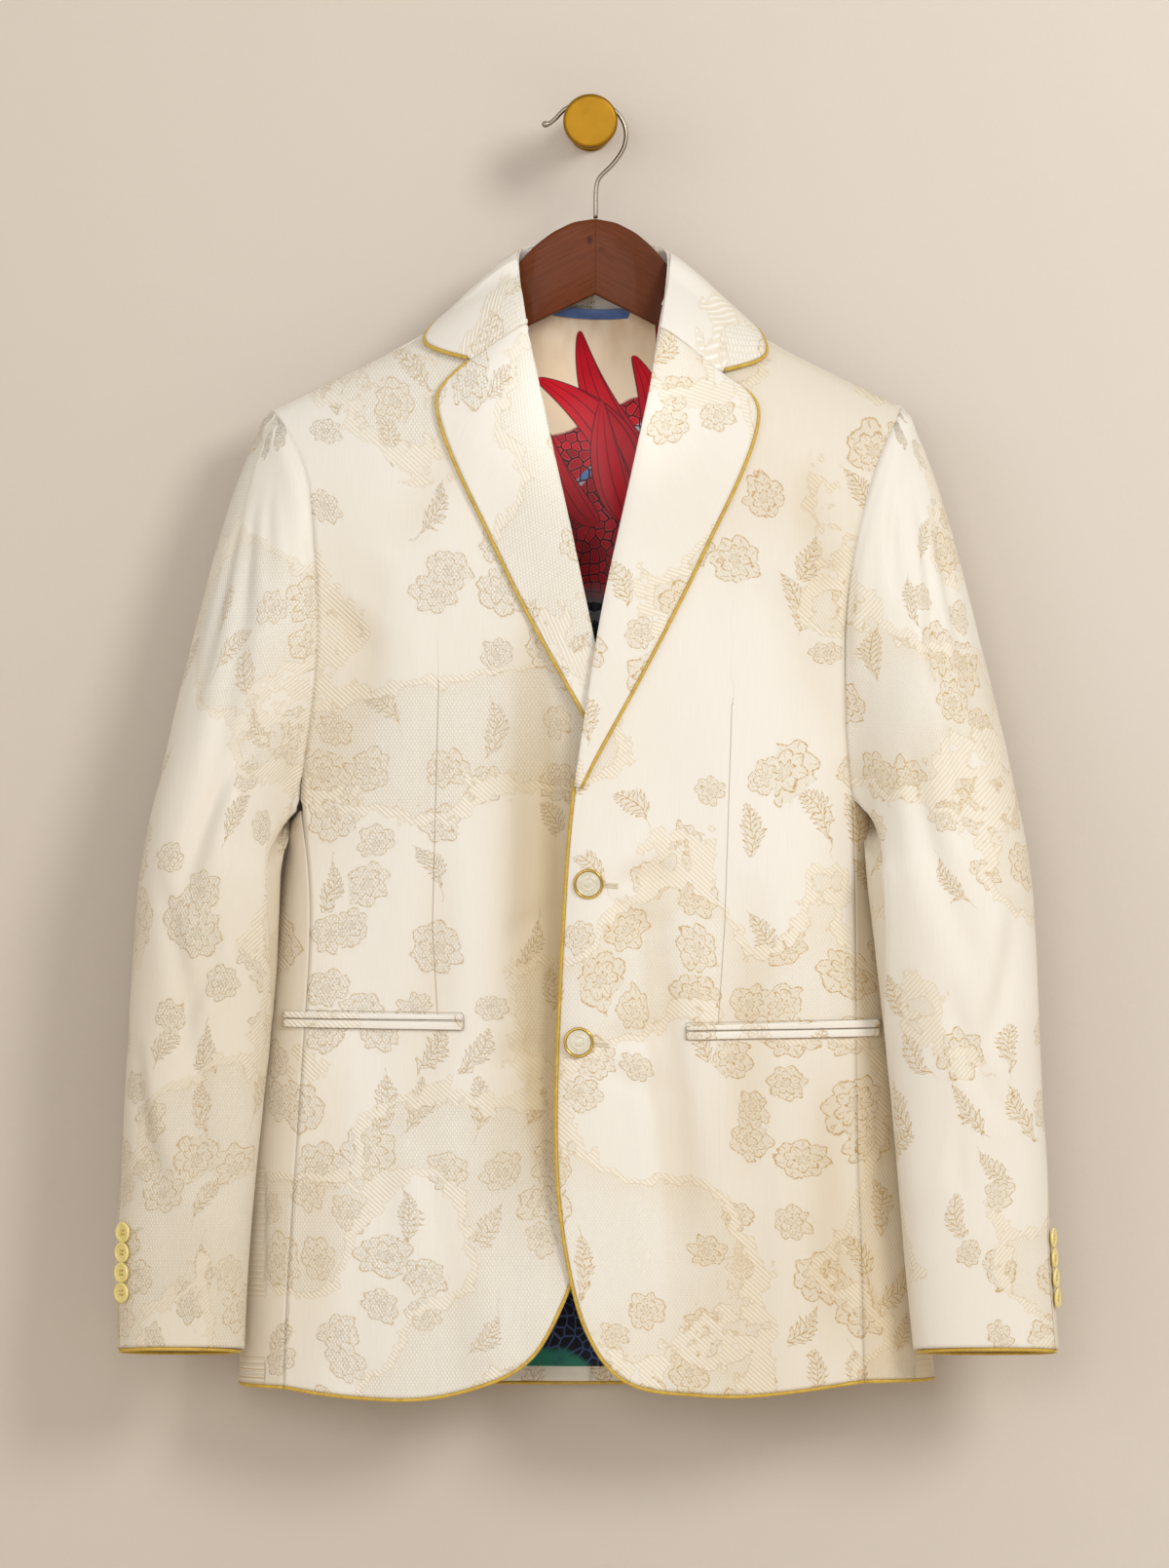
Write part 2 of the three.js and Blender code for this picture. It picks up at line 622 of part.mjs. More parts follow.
function backPanel(side) {
  const columns = 7;
  const hand = side < 0 ? "right" : "left";
  return DROPS.map((drop) => {
    const rowZ = (x) => {
      const neck = -118 + 13 * Math.pow(Math.min(Math.abs(x) / 56, 1), 2.4);
      const top = Math.abs(x) < 56 ? neck : shoulderZ(x);
      return top - drop * (top - straight(BACK_HEM, "x", "z", x));
    };
    let a = 150;
    let b = 260;
    for (let n = 0; n < 50; n += 1) {
      const x = (a + b) / 2;
      if (x < column(BACK_SEAM, "z", hand, rowZ(side * x))) a = x;
      else b = x;
    }
    return Array.from({ length: columns + 1 }, (_, j) => {
      const x = side * (SEAM / 2 + (a - SEAM * 1.5) * (j / columns));
      const z = rowZ(x);
      return vec(x, backY(x, z) + (drop === 0 ? 0.2 : 0), z);
    });
  });
}

// Point of the side panel between the front seam (share 0) and the back seam (share 1).
function sidePoint(side, share, z) {
  const hand = side < 0 ? "right" : "left";
  const half = column(BODY, "z", hand, z);
  const seam = side < 0 ? RIGHT_SEAM : LEFT_SEAM;
  const frontX = Math.abs(column(seam, "z", "x", z)) + SEAM;
  const backX = column(BACK_SEAM, "z", hand, z) + SEAM;
  const frontTurn = Math.acos(Math.pow(Math.min(frontX / half, 1), FRONT_POWER / 2));
  const backTurn = Math.acos(Math.pow(Math.min(backX / half, 1), BACK_POWER / 2));
  const turn = -frontTurn + (frontTurn + backTurn) * share;
  const power = turn < 0 ? FRONT_POWER : BACK_POWER;
  const x = side * half * Math.pow(Math.cos(turn), 2 / power);
  const surface = turn < 0 ? (side < 0 ? frontY : overY) : backY;
  return vec(x, surface(x, z), z);
}

function sidePanel(side, front, back) {
  const columns = 8;
  const rows = DROPS.length - ARMHOLE_ROWS;
  return Array.from({ length: rows }, (_, i) => {
    const frontZ = front[i + ARMHOLE_ROWS].at(-1).z;
    const backZ = back[i + ARMHOLE_ROWS].at(-1).z;
    return Array.from({ length: columns + 1 }, (_unused, j) => {
      const share = j / columns;
      const scoop = i === 0 ? 10 * (1 - Math.pow(2 * share - 1, 2)) : 0;
      return sidePoint(side, share, frontZ + (backZ - frontZ) * share - scoop);
    });
  });
}

// Loop of the armhole from the shoulder down the front, under the arm and up the back.
function armhole(side, front, back, flank) {
  const fore = front.slice(0, ARMHOLE_ROWS + 1).map((row) => row.at(-1));
  const aft = back.slice(1, ARMHOLE_ROWS + 1).map((row) => row.at(-1));
  const under = flank[0].slice(1, -1);
  const away = vec(side * 2.0, 0, 0);
  const up = vec(side * 0.4, 0, 1.3);
  return [
    ...fore.map((p) => p.clone().add(away)),
    ...under.map((p) => p.clone().add(up)),
    ...aft.reverse().map((p) => p.clone().add(away)),
  ];
}

const ARMHOLES = {};
const BODICE = {};
for (const side of [-1, 1]) {
  const hand = side < 0 ? "right" : "left";
  const over = side < 0 ? frontY : overY;
  const front = frontPanel(side);
  const frontNormals = panelNormals(front, over, FRONT_POWER);
  const frontInner = shifted(front, frontNormals, -CLOTH);
  addSheet(`front_${hand}`, front, frontInner, IVORY);
  const back = backPanel(side);
  const backNormals = panelNormals(back, backY, BACK_POWER);
  const backInner = shifted(back, backNormals, -CLOTH);
  addSheet(`back_${hand}`, back, backInner, IVORY);
  const flank = sidePanel(side, front, back);
  const flankNormals = flank.map((row) =>
    row.map((point) =>
      point.y < MID_Y
        ? bodyNormal(over, FRONT_POWER, point)
        : bodyNormal(backY, BACK_POWER, point),
    ),
  );
  const flankInner = shifted(flank, flankNormals, -CLOTH);
  addSheet(`side_${hand}`, flank, flankInner, IVORY);
  ARMHOLES[hand] = armhole(side, front, back, flank);
  BODICE[hand] = { front, frontInner, back, backInner, backNormals, flank, flankInner };
}

// Sleeves
// Turn of each armhole point about the sleeve: 0 at the shoulder, half a turn under the arm.
function armholeTurns(loop) {
  const lowest = (loop.length / 2) | 0;
  const run = [0];
  for (let k = 1; k <= loop.length; k += 1) {
    run.push(run[k - 1] + loop[k % loop.length].distanceTo(loop[k - 1]));
  }
  const total = run[loop.length];
  return loop.map((_, k) =>
    k <= lowest
      ? (Math.PI * run[k]) / run[lowest]
      : 2 * Math.PI - (Math.PI * (total - run[k])) / (total - run[lowest]),
  );
}

const sleeveTwist = (z) => -0.45 + 1.6 * smooth(-z, 526, 800);

function sleeveRing(side, z, turn) {
  const rows = side < 0 ? RIGHT_SLEEVE : LEFT_SLEEVE;
  const outer = column(rows, "z", "outer", z);
  const inner = column(rows, "z", "inner", z);
  const wide = (outer - inner) / 2;
  const c = Math.cos(turn + sleeveTwist(z));
  const s = Math.sin(turn + sleeveTwist(z));
  const soft = 0.9;
  const x = side * ((outer + inner) / 2 + wide * Math.sign(c) * Math.pow(Math.abs(c), soft));
  const deep = column(rows, "z", "deep", z) * Math.sign(s) * Math.pow(Math.abs(s), soft);
  return vec(x, column(rows, "z", "mid", z) - deep, z + (z < -845 ? 3.4 * s - 2 : 0));
}

const ARM_ROWS = [-526, -556, -590, -625, -662, -700, -738, -776, -806, -832, -851];

function sleeveGrid(side, loop) {
  const turns = armholeTurns(loop);
  const grid = [];
  for (let i = 0; i < CAP_ROWS; i += 1) {
    const t = i / CAP_ROWS;
    const t2 = t * t;
    const t3 = t2 * t;
    grid.push(
      loop.map((from, k) => {
        const to = sleeveRing(side, ARM_ROWS[0], turns[k]);
        const reach = from.distanceTo(to);
        const top = (1 + Math.cos(turns[k])) / 2;
        const leave = vec(side * (0.42 - 0.16 * top), -0.22 * Math.sin(turns[k]), -0.28);
        const arrive = vec(side * 0.05, 0, -0.62);
        return from
          .clone()
          .multiplyScalar(2 * t3 - 3 * t2 + 1)
          .addScaledVector(leave, (t3 - 2 * t2 + t) * reach)
          .addScaledVector(to, 3 * t2 - 2 * t3)
          .addScaledVector(arrive, (t3 - t2) * reach);
      }),
    );
  }
  for (const z of ARM_ROWS) grid.push(turns.map((turn) => sleeveRing(side, z, turn)));
  return grid;
}

// Normals of a closed tube, pointing away from its middle line.
function tubeNormals(grid) {
  const count = grid[0].length;
  return grid.map((row, i) => {
    const middle = row.reduce((sum, p) => sum.add(p), vec(0, 0, 0)).divideScalar(count);
    return row.map((point, k) => {
      const below = grid[Math.min(i + 1, grid.length - 1)][k];
      const above = grid[Math.max(i - 1, 0)][k];
      const around = row[(k + 1) % count].clone().sub(row[(k + count - 1) % count]);
      const normal = below.clone().sub(above).cross(around).normalize();
      return normal.dot(point.clone().sub(middle)) < 0 ? normal.negate() : normal;
    });
  });
}

// Columns of a closed tube from one seam to the next, each end drawn back by the seam gap.
function wedge(grid, from, to) {
  const count = grid[0].length;
  const back = 0.06;
  return grid.map((row) => {
    const at = (k) => row[((k % count) + count) % count];
    const cut = [at(from).clone().lerp(at(from + 1), back)];
    for (let k = from + 1; k < to; k += 1) cut.push(at(k));
    cut.push(at(to).clone().lerp(at(to - 1), back));
    return cut;
  });
}

const SLEEVES = {};
for (const side of [-1, 1]) {
  const hand = side < 0 ? "right" : "left";
  const outer = sleeveGrid(side, ARMHOLES[hand]);
  const normals = tubeNormals(outer);
  const inner = shifted(outer, normals, -CLOTH);
  addSheet(`top_sleeve_${hand}`, wedge(outer, -5, 13), wedge(inner, -5, 13), IVORY);
  addSheet(`under_sleeve_${hand}`, wedge(outer, 13, 25), wedge(inner, 13, 25), IVORY);
  SLEEVES[hand] = { outer, inner, normals };
}

// Lapels lie turned back on the fronts: low along the roll, proud in the middle.
const LAPEL_SHARES = [0, 0.06, 0.18, 0.36, 0.56, 0.78, 1];

function lapelGrid(side) {
  const surface = side < 0 ? frontY : overY;
  const table = side < 0 ? RIGHT_LAPEL : LEFT_LAPEL;
  return table.map((row) => {
    const wide = Math.hypot(row.edgeX - row.rollX, row.edgeZ - row.rollZ);
    const roll = LAPEL_ROLL * THREE.MathUtils.clamp((wide - 36) / 30, 0.1, 1);
    return LAPEL_SHARES.map((share) => {
      const x = row.rollX + (row.edgeX - row.rollX) * share;
      const z = row.rollZ + (row.edgeZ - row.rollZ) * share;
      const lift = LAPEL_LIFT + roll * Math.sin(Math.PI * Math.pow(share, 0.55));
      return offSurface(surface, x, z, lift, -1);
    });
  });
}

const forwards = () => vec(0, -1, 0);
const LAPELS = {};
for (const side of [-1, 1]) {
  const hand = side < 0 ? "right" : "left";
  const inner = lapelGrid(side);
  const normals = gridNormals(inner, forwards);
  const outer = shifted(inner, normals, CLOTH);
  addSheet(`lapel_${hand}`, outer, inner, IVORY);
  LAPELS[hand] = { outer, inner };
}

// Collar fall: stations of the table, mirrored, run from one gorge round the neck to the other.
function aroundNeck(rows, read, count) {
  const half = rows.map((row, i) => read(row, i, 1));
  const other = rows.slice(0, -1).map((row, i) => read(row, i, -1)).reverse();
  return new THREE.CatmullRomCurve3([...half, ...other], false, "centripetal").getPoints(count);
}

const COLLAR_STATIONS = (COLLAR.length - 1) * 4;
const ON_FRONT = 4;
const neckShift = (hand) => (hand < 0 ? 4.6 : 0);
const foldLine = aroundNeck(
  COLLAR,
  (row, i, hand) => {
    const x = hand * row.foldX + neckShift(hand) * Math.min(1, Math.abs(row.foldX) / 40);
    const z = row.foldZ - neckShift(hand) * (i < ON_FRONT ? 0.6 : 0.2);
    const y = i < ON_FRONT ? offSurface(frontY, x, z, 3.4, -1).y : row.foldY;
    return vec(x, y, z);
  },
  COLLAR_STATIONS,
);
const leafLine = aroundNeck(
  COLLAR,
  (row, i, hand) => {
    const shift = hand < 0 ? Math.min(7.6, 8 * (Math.abs(row.edgeX) / 80)) : 0;
    const x = hand * row.edgeX + shift;
    const z = row.edgeZ - (hand < 0 && i < ON_FRONT ? 8.4 : shift * 0.5);
    const y = i < ON_FRONT ? offSurface(frontY, x, z, 3.0, -1).y : row.edgeY;
    return vec(x, y, z);
  },
  COLLAR_STATIONS,
);

// Pushes a point out of the body until it clears the cloth by the given distance.
function clearBody(point, clearance) {
  const out = vec(point.x * 0.25, point.y - MID_Y, 16).normalize();
  for (let n = 0; n < 90; n += 1) {
    const probe = point.clone().addScaledVector(out, -clearance);
    const below = probe.z < shoulderZ(probe.x);
    if (!below || probe.y < frontY(probe.x, probe.z) || probe.y > backY(probe.x, probe.z)) break;
    point.addScaledVector(out, 0.4);
  }
  return point;
}

const COLLAR_SHARES = [0, 0.08, 0.24, 0.46, 0.72, 1];
const collarInner = foldLine.map((fold, i) =>
  COLLAR_SHARES.map((share) => {
    const point = fold.clone().lerp(leafLine[i], share);
    const lift = vec(point.x * 0.6, point.y - MID_Y, 14).normalize();
    point.addScaledVector(lift, 2.6 * Math.sin(Math.PI * Math.pow(share, 0.5)));
    return clearBody(point, 2.2);
  }),
);
const collarNormals = gridNormals(collarInner, (p) => vec(p.x, (p.y - MID_Y) * 1.2, 20));
const collarOuter = shifted(collarInner, collarNormals, CLOTH);
addSheet("collar_fall", collarOuter, collarInner, IVORY);

// Collar stand inside the fold, from its top edge down to the neck seam.
const standShift = (row, hand) => (hand < 0 ? 2.2 * Math.min(1, Math.abs(row.topX) / 40) : 0);
const standCount = (STAND.length - 1) * 3;
const standTop = aroundNeck(
  STAND,
  (row, i, hand) => vec(hand * row.topX + standShift(row, hand), row.topY, row.topZ),
  standCount,
);
const standBase = aroundNeck(
  STAND,
  (row, i, hand) => vec(hand * row.baseX + standShift(row, hand), row.baseY, row.baseZ),
  standCount,
);
const standOuter = standTop.map((top, i) => [0, 0.5, 1].map((t) => top.clone().lerp(standBase[i], t)));
const standNormals = gridNormals(standOuter, (p) => vec(p.x, p.y - MID_Y, 0));
addSheet("collar_stand", standOuter, shifted(standOuter, standNormals, -CLOTH), IVORY);

// Back lining, laid along the inside of both backs.
const LINING_ROWS = [2, 3, 4, 5, 6, 7, 9, 11, 12, 13, 14, 16, 18, 20, 22];
function liningGrid(lift) {
  const row = (i) => {
    const half = (hand) =>
      BODICE[hand].backInner[i]
        .map((p, j) => p.clone().addScaledVector(BODICE[hand].backNormals[i][j], -lift))
        .slice(1);
    const rightHalf = half("right").slice(0, -1);
    const leftHalf = half("left").slice(0, -1);
    const middle = BODICE.right.backInner[i][0].clone().setX(0);
    middle.addScaledVector(BODICE.right.backNormals[i][0], -lift);
    return [...rightHalf.reverse(), middle, ...leftHalf];
  };
  const rows = LINING_ROWS.map(row);
  const low = row(DROPS.length - 1);
  rows.push(rows.at(-1).map((p, j) => p.clone().lerp(low[j], 0.42)));
  return rows;
}
addSheet("lining_back", liningGrid(LINING_GAP), liningGrid(LINING_GAP + LINING), SATIN);

// Hanging loop: a ribbon across the back of the neck, bowed off the lining.
const loopGrid = (lift) =>
  [-126.4, -131, -135.4].map((z) =>
    [-29, -20, -10, 0, 10, 20, 29].map((x) => {
      const bow = 3.2 * (1 - Math.pow(x / 29, 2));
      const sag = -1.6 * (1 - Math.pow(x / 29, 2)) - (x + 29) * 0.05;
      return offSurface(backY, x, z + sag, -(CLOTH + LINING_GAP + LINING + 1.0 + bow + lift), 1);
    }),
  );
addSheet("hanging_loop", loopGrid(0), loopGrid(1), BLUE);

// Pocket welts, standing on the fronts.
for (const hand of ["right", "left"]) {
  const surface = hand === "right" ? frontY : overY;
  const rows = POCKETS[hand];
  const start = rows[0].x;
  const run = rows[1].x - start;
  const weltGrid = (from, to, trimFrom, trimTo, lift) =>
    Array.from({ length: 13 }, (_, i) => {
      const x = start + (run * i) / 12;
      const top = straight(rows, "x", from, x) - trimFrom;
      const bottom = straight(rows, "x", to, x) + trimTo;
      return [0, 0.5, 1].map((t) => {
        const crown = 0.5 * Math.sin(Math.PI * t);
        return offSurface(surface, x, top + (bottom - top) * t, lift > WELT_LIFT ? lift + crown : lift, -1);
      });
    });
  const high = WELT_LIFT + WELT_THICK;
  addSheet(
    `pocket_${hand}_upper_welt`,
    weltGrid("top", "slit", 0, 0.3, high),
    weltGrid("top", "slit", 0, 0.3, WELT_LIFT),
    IVORY,
  );
  addSheet(
    `pocket_${hand}_lower_welt`,
    weltGrid("slit", "bottom", 0.4, 0, high),
    weltGrid("slit", "bottom", 0.4, 0, WELT_LIFT),
    IVORY,
  );
}

// Cord centres beside an edge of a sheet: places name the edge points and their inner neighbours.
function besideEdge(outer, inner, places) {
  const mid = (i, j) => outer[i][j].clone().lerp(inner[i][j], 0.5);
  const edge = places.map(([i, j]) => mid(i, j));
  return places.map(([i, j, nearI, nearJ], n) => {
    const face = outer[i][j].clone().sub(inner[i][j]).normalize();
    const before = edge[n].clone().sub(edge[Math.max(n - 1, 0)]).normalize();
    const after = edge[Math.min(n + 1, edge.length - 1)].clone().sub(edge[n]).normalize();
    const away = before.clone().add(after).cross(face).normalize();
    if (away.dot(edge[n].clone().sub(mid(nearI, nearJ))) < 0) away.negate();
    const half = Math.sqrt(Math.max((1 + before.dot(after)) / 2, 0.4));
    const miter = before.lengthSq() * after.lengthSq() > 0.5 ? half : 1;
    return edge[n].clone().addScaledVector(away, (PIPE_R + SEAM) / miter);
  });
}

const FRONTWARD = vec(0, -1, 0);
const UPWARD = vec(0, 0, 1);
const lastRow = DROPS.length - 1;

for (const hand of ["right", "left"]) {
  const { outer, inner } = LAPELS[hand];
  const end = LAPEL_SHARES.length - 1;
  const lapelPath = besideEdge(outer, inner, outer.map((_, i) => [i, end, i, end - 1]));
  addCord(`piping_lapel_${hand}`, lapelPath, PIPE_R, 6, GOLD_CORD, FRONTWARD);

  const { front, frontInner } = BODICE[hand];
  const first = hand === "right" ? 17 : 12;
  const places = [];
  for (let i = first; i < lastRow; i += 1) places.push([i, 0, i, 1]);
  places.push([lastRow, 0, lastRow - 1, 1]);
  for (let j = 1; j < front[0].length; j += 1) places.push([lastRow, j, lastRow - 1, j]);
  addCord(
    `piping_front_${hand}`,
    besideEdge(front, frontInner, places),
    PIPE_R,
    6,
    GOLD_CORD,
    FRONTWARD,
  );
}

const leafEdge = COLLAR_SHARES.length - 1;
const collarPlaces = collarOuter.map((_, i) => [i, leafEdge, i, leafEdge - 1]);
const collarPath = besideEdge(collarOuter, collarInner, collarPlaces);
collarPath[0].lerp(collarPath[1], 0.4);
collarPath[collarPath.length - 1].lerp(collarPath[collarPath.length - 2], 0.4);
addCord("piping_collar", collarPath, PIPE_R, 6, GOLD_CORD, UPWARD);

const hemPlaces = (from, to) => {
  const step = from < to ? 1 : -1;
  const places = [];
  for (let j = from; j !== to + step; j += step) places.push([lastRow, j, lastRow - 1, j]);
  return places;
};
const flankPlaces = (from, to) =>
  hemPlaces(from, to).map(([i, j, k]) => [i - ARMHOLE_ROWS, j, k - ARMHOLE_ROWS, j]);
const hemPath = [
  ...besideEdge(BODICE.right.flank, BODICE.right.flankInner, flankPlaces(0, 8)),
  ...besideEdge(BODICE.right.back, BODICE.right.backInner, hemPlaces(6, 1)),
  ...besideEdge(BODICE.left.back, BODICE.left.backInner, hemPlaces(1, 6)),
  ...besideEdge(BODICE.left.flank, BODICE.left.flankInner, flankPlaces(8, 0)),
];
addCord("piping_hem_back", hemPath, PIPE_R, 6, GOLD_CORD, UPWARD);

// Cuff piping runs round from the vent and back to it.
const CUFF_SEAM = 25;
for (const hand of ["right", "left"]) {
  const { outer, inner } = SLEEVES[hand];
  const count = outer[0].length;
  const last = outer.length - 1;
  const places = [];
  for (let k = 0; k <= count; k += 2) {
    const j = (CUFF_SEAM + k) % count;
    places.push([last, j, last - 1, j]);
  }
  const path = besideEdge(outer, inner, places);
  path[0].lerp(path[1], 0.12);
  path[path.length - 1].lerp(path[path.length - 2], 0.12);
  addCord(`piping_cuff_${hand}`, path, PIPE_R, 6, GOLD_CORD, UPWARD);
}

// Front buttons: shank, face and raised rim.
const FRONT_BUTTON = [
  { radius: 2.6, out: 0.6 },
  { radius: 2.6, out: 1.8 },
  { radius: FRONT_BUTTON_R - 1, out: 2.0 },
  { radius: FRONT_BUTTON_R, out: 2.8 },
  { radius: FRONT_BUTTON_R, out: 4.0 },
  { radius: FRONT_BUTTON_R - 0.9, out: 4.9 },
  { radius: FRONT_BUTTON_R - 2.0, out: 4.3 },
];
const FRONT_BUTTONS = [
  { name: "button_front_upper", x: -1.4, z: -530.4 },
  { name: "button_front_lower", x: -8.1, z: -640.1 },
];
for (const { name, x, z } of FRONT_BUTTONS) {
  const centre = offSurface(overY, x, z, 0, -1);
  const axis = offSurface(overY, x, z, 10, -1).sub(centre);
  addTurned(name, centre, axis, FRONT_BUTTON, 20, PEARL);
}

const CUFF_BUTTON = [
  { radius: CUFF_BUTTON_R - 1, out: 0.6 },
  { radius: CUFF_BUTTON_R, out: 1.3 },
  { radius: CUFF_BUTTON_R, out: 2.1 },
  { radius: CUFF_BUTTON_R - 0.9, out: 2.9 },
  { radius: CUFF_BUTTON_R - 2.0, out: 2.3 },
];
for (const side of [-1, 1]) {
  const hand = side < 0 ? "right" : "left";
  const bearing = side < 0 ? 0.6 : 0.2;
  for (let n = 0; n < 4; n += 1) {
    const z = CUFF_BUTTON_TOP - CUFF_BUTTON_PITCH * n - (side < 0 ? 0 : 4);
    const at = (turn) => sleeveRing(side, z, turn - sleeveTwist(z));
    const centre = at(bearing);
    const along = at(bearing + 0.05).sub(at(bearing - 0.05));
    const axis = vec(along.y, -along.x, 0);
    if (axis.x * side < 0) axis.negate();
    addTurned(`button_cuff_${hand}_${n + 1}`, centre, axis, CUFF_BUTTON, 14, BUTTER);
  }
}

// Wooden hanger: rounded sections along its length.
const woodRings = WOOD.map(({ x, top, bottom, half }) =>
  Array.from({ length: 14 }, (_, k) => {
    const turn = (2 * Math.PI * k) / 14;
    const c = Math.cos(turn);
    const s = Math.sin(turn);
    const y = half * Math.sign(c) * Math.pow(Math.abs(c), 0.62);
    const z = ((top - bottom) / 2) * Math.sign(s) * Math.pow(Math.abs(s), 0.62);
    return vec(x, HANG_Y + y, (top + bottom) / 2 + z);
  }),
);
addLoft("hanger_wood", woodRings, MAHOGANY);

const hookPath = HOOK_PATH.map(({ x, z }) => vec(x, HANG_Y, z));
addCord("hanger_hook", hookPath, [0.9, 2.1, 2.7, 2.1, HOOK_WIRE_R], 8, STEEL, FRONTWARD);

const PEG = [
  { radius: 15.5, out: 0 },
  { radius: 15.5, out: 3 },
  { radius: PEG_STEM_R, out: 4.5 },
  { radius: PEG_STEM_R, out: 70 },
  { radius: PEG_DISC_R - 1.2, out: 71 },
  { radius: PEG_DISC_R, out: 72.4 },
  { radius: PEG_DISC_R, out: 78 },
  { radius: PEG_DISC_R - 1.4, out: 80 },
];
addTurned("wall_peg", vec(0, 0, 0), FRONTWARD, PEG, 28, BRASS);

export default part;
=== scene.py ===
import math
from contextlib import contextmanager

import bmesh
import bpy
import numpy as np
from mathutils import Matrix, Vector
from mathutils.bvhtree import BVHTree
from mathutils.kdtree import KDTree


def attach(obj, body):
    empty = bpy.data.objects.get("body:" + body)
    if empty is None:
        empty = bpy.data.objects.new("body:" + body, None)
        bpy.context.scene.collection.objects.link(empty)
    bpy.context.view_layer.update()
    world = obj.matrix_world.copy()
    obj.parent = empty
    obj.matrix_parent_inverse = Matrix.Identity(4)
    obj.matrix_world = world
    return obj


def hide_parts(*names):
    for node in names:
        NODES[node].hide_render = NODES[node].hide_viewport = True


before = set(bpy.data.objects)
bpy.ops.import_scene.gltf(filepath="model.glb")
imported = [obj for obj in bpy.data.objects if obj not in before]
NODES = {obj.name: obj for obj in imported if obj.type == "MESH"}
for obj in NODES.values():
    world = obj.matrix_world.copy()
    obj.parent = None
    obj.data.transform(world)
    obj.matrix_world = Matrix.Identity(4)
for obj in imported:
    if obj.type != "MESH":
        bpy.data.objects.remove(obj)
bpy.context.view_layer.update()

SCENE = bpy.context.scene
MM = 0.001

# Camera and stage, in metres
CAMERA_AT = (-0.00408, -6.062, -0.4614)
CAMERA_LENS = 197.4
FLOOR_Z = -1.32

# Sections of the body in mm, as the cut of the cloth runs round them
MID_Y = -60.0
BODY_HALF = 226.0
BODY_DEEP = 51.0
BODY_POWER = 2.8

# Height of the armhole's foot and of the shoulder seam, in metres
UNDERARM_Z = -0.476
SHOULDER_Z = -0.19

# Most thickness of cloth at a cut edge, and how far cut edges grow to meet, in metres
CLOTH_MOST = 0.0023
BODY_REACH = 0.00032
COLLAR_REACH = 0.0003

# Where the sleeves lie on the cloth in mm, and the least share of its rectangle that a cut fills
SLEEVE_SHIFT = 900
SMALLEST_SHARE = 0.301


# Finishes
class Wire:
    """An output of a finish's node, with arithmetic on it written as plain expressions."""

    def __init__(self, finish, socket):
        self.finish = finish
        self.socket = socket

    def _math(self, operation, *others, clamp=False):
        settings = {"operation": operation, "use_clamp": clamp}
        return self.finish.node("ShaderNodeMath", settings, dict(enumerate((self, *others))))

    def __rsub__(self, other):
        return self.finish.number("SUBTRACT", other, self)

    def __rtruediv__(self, other):
        return self.finish.number("DIVIDE", other, self)

    def above(self, edge, soft):
        """0 below the edge, 1 above it, with a soft step between."""
        return ((self - (edge - soft)) * (0.5 / soft))._math("ADD", 0.0, clamp=True)

    def below(self, edge, soft):
        return 1.0 - self.above(edge, soft)

    def near(self, place, half, soft):
        """1 within half of a place, fading to 0 over soft."""
        return abs(self - place).below(half, soft)


def arithmetic(operation):
    return lambda wire, *others: wire._math(operation, *others)


METHODS = "__add__ __radd__ __sub__ __mul__ __truediv__ __abs__ sin cos floor fract sqrt least most"
MATHS = "ADD ADD SUBTRACT MULTIPLY DIVIDE ABSOLUTE SINE COSINE FLOOR FRACT SQRT MINIMUM MAXIMUM"
for method, operation in zip(METHODS.split(), MATHS.split()):
    setattr(Wire, method, arithmetic(operation))


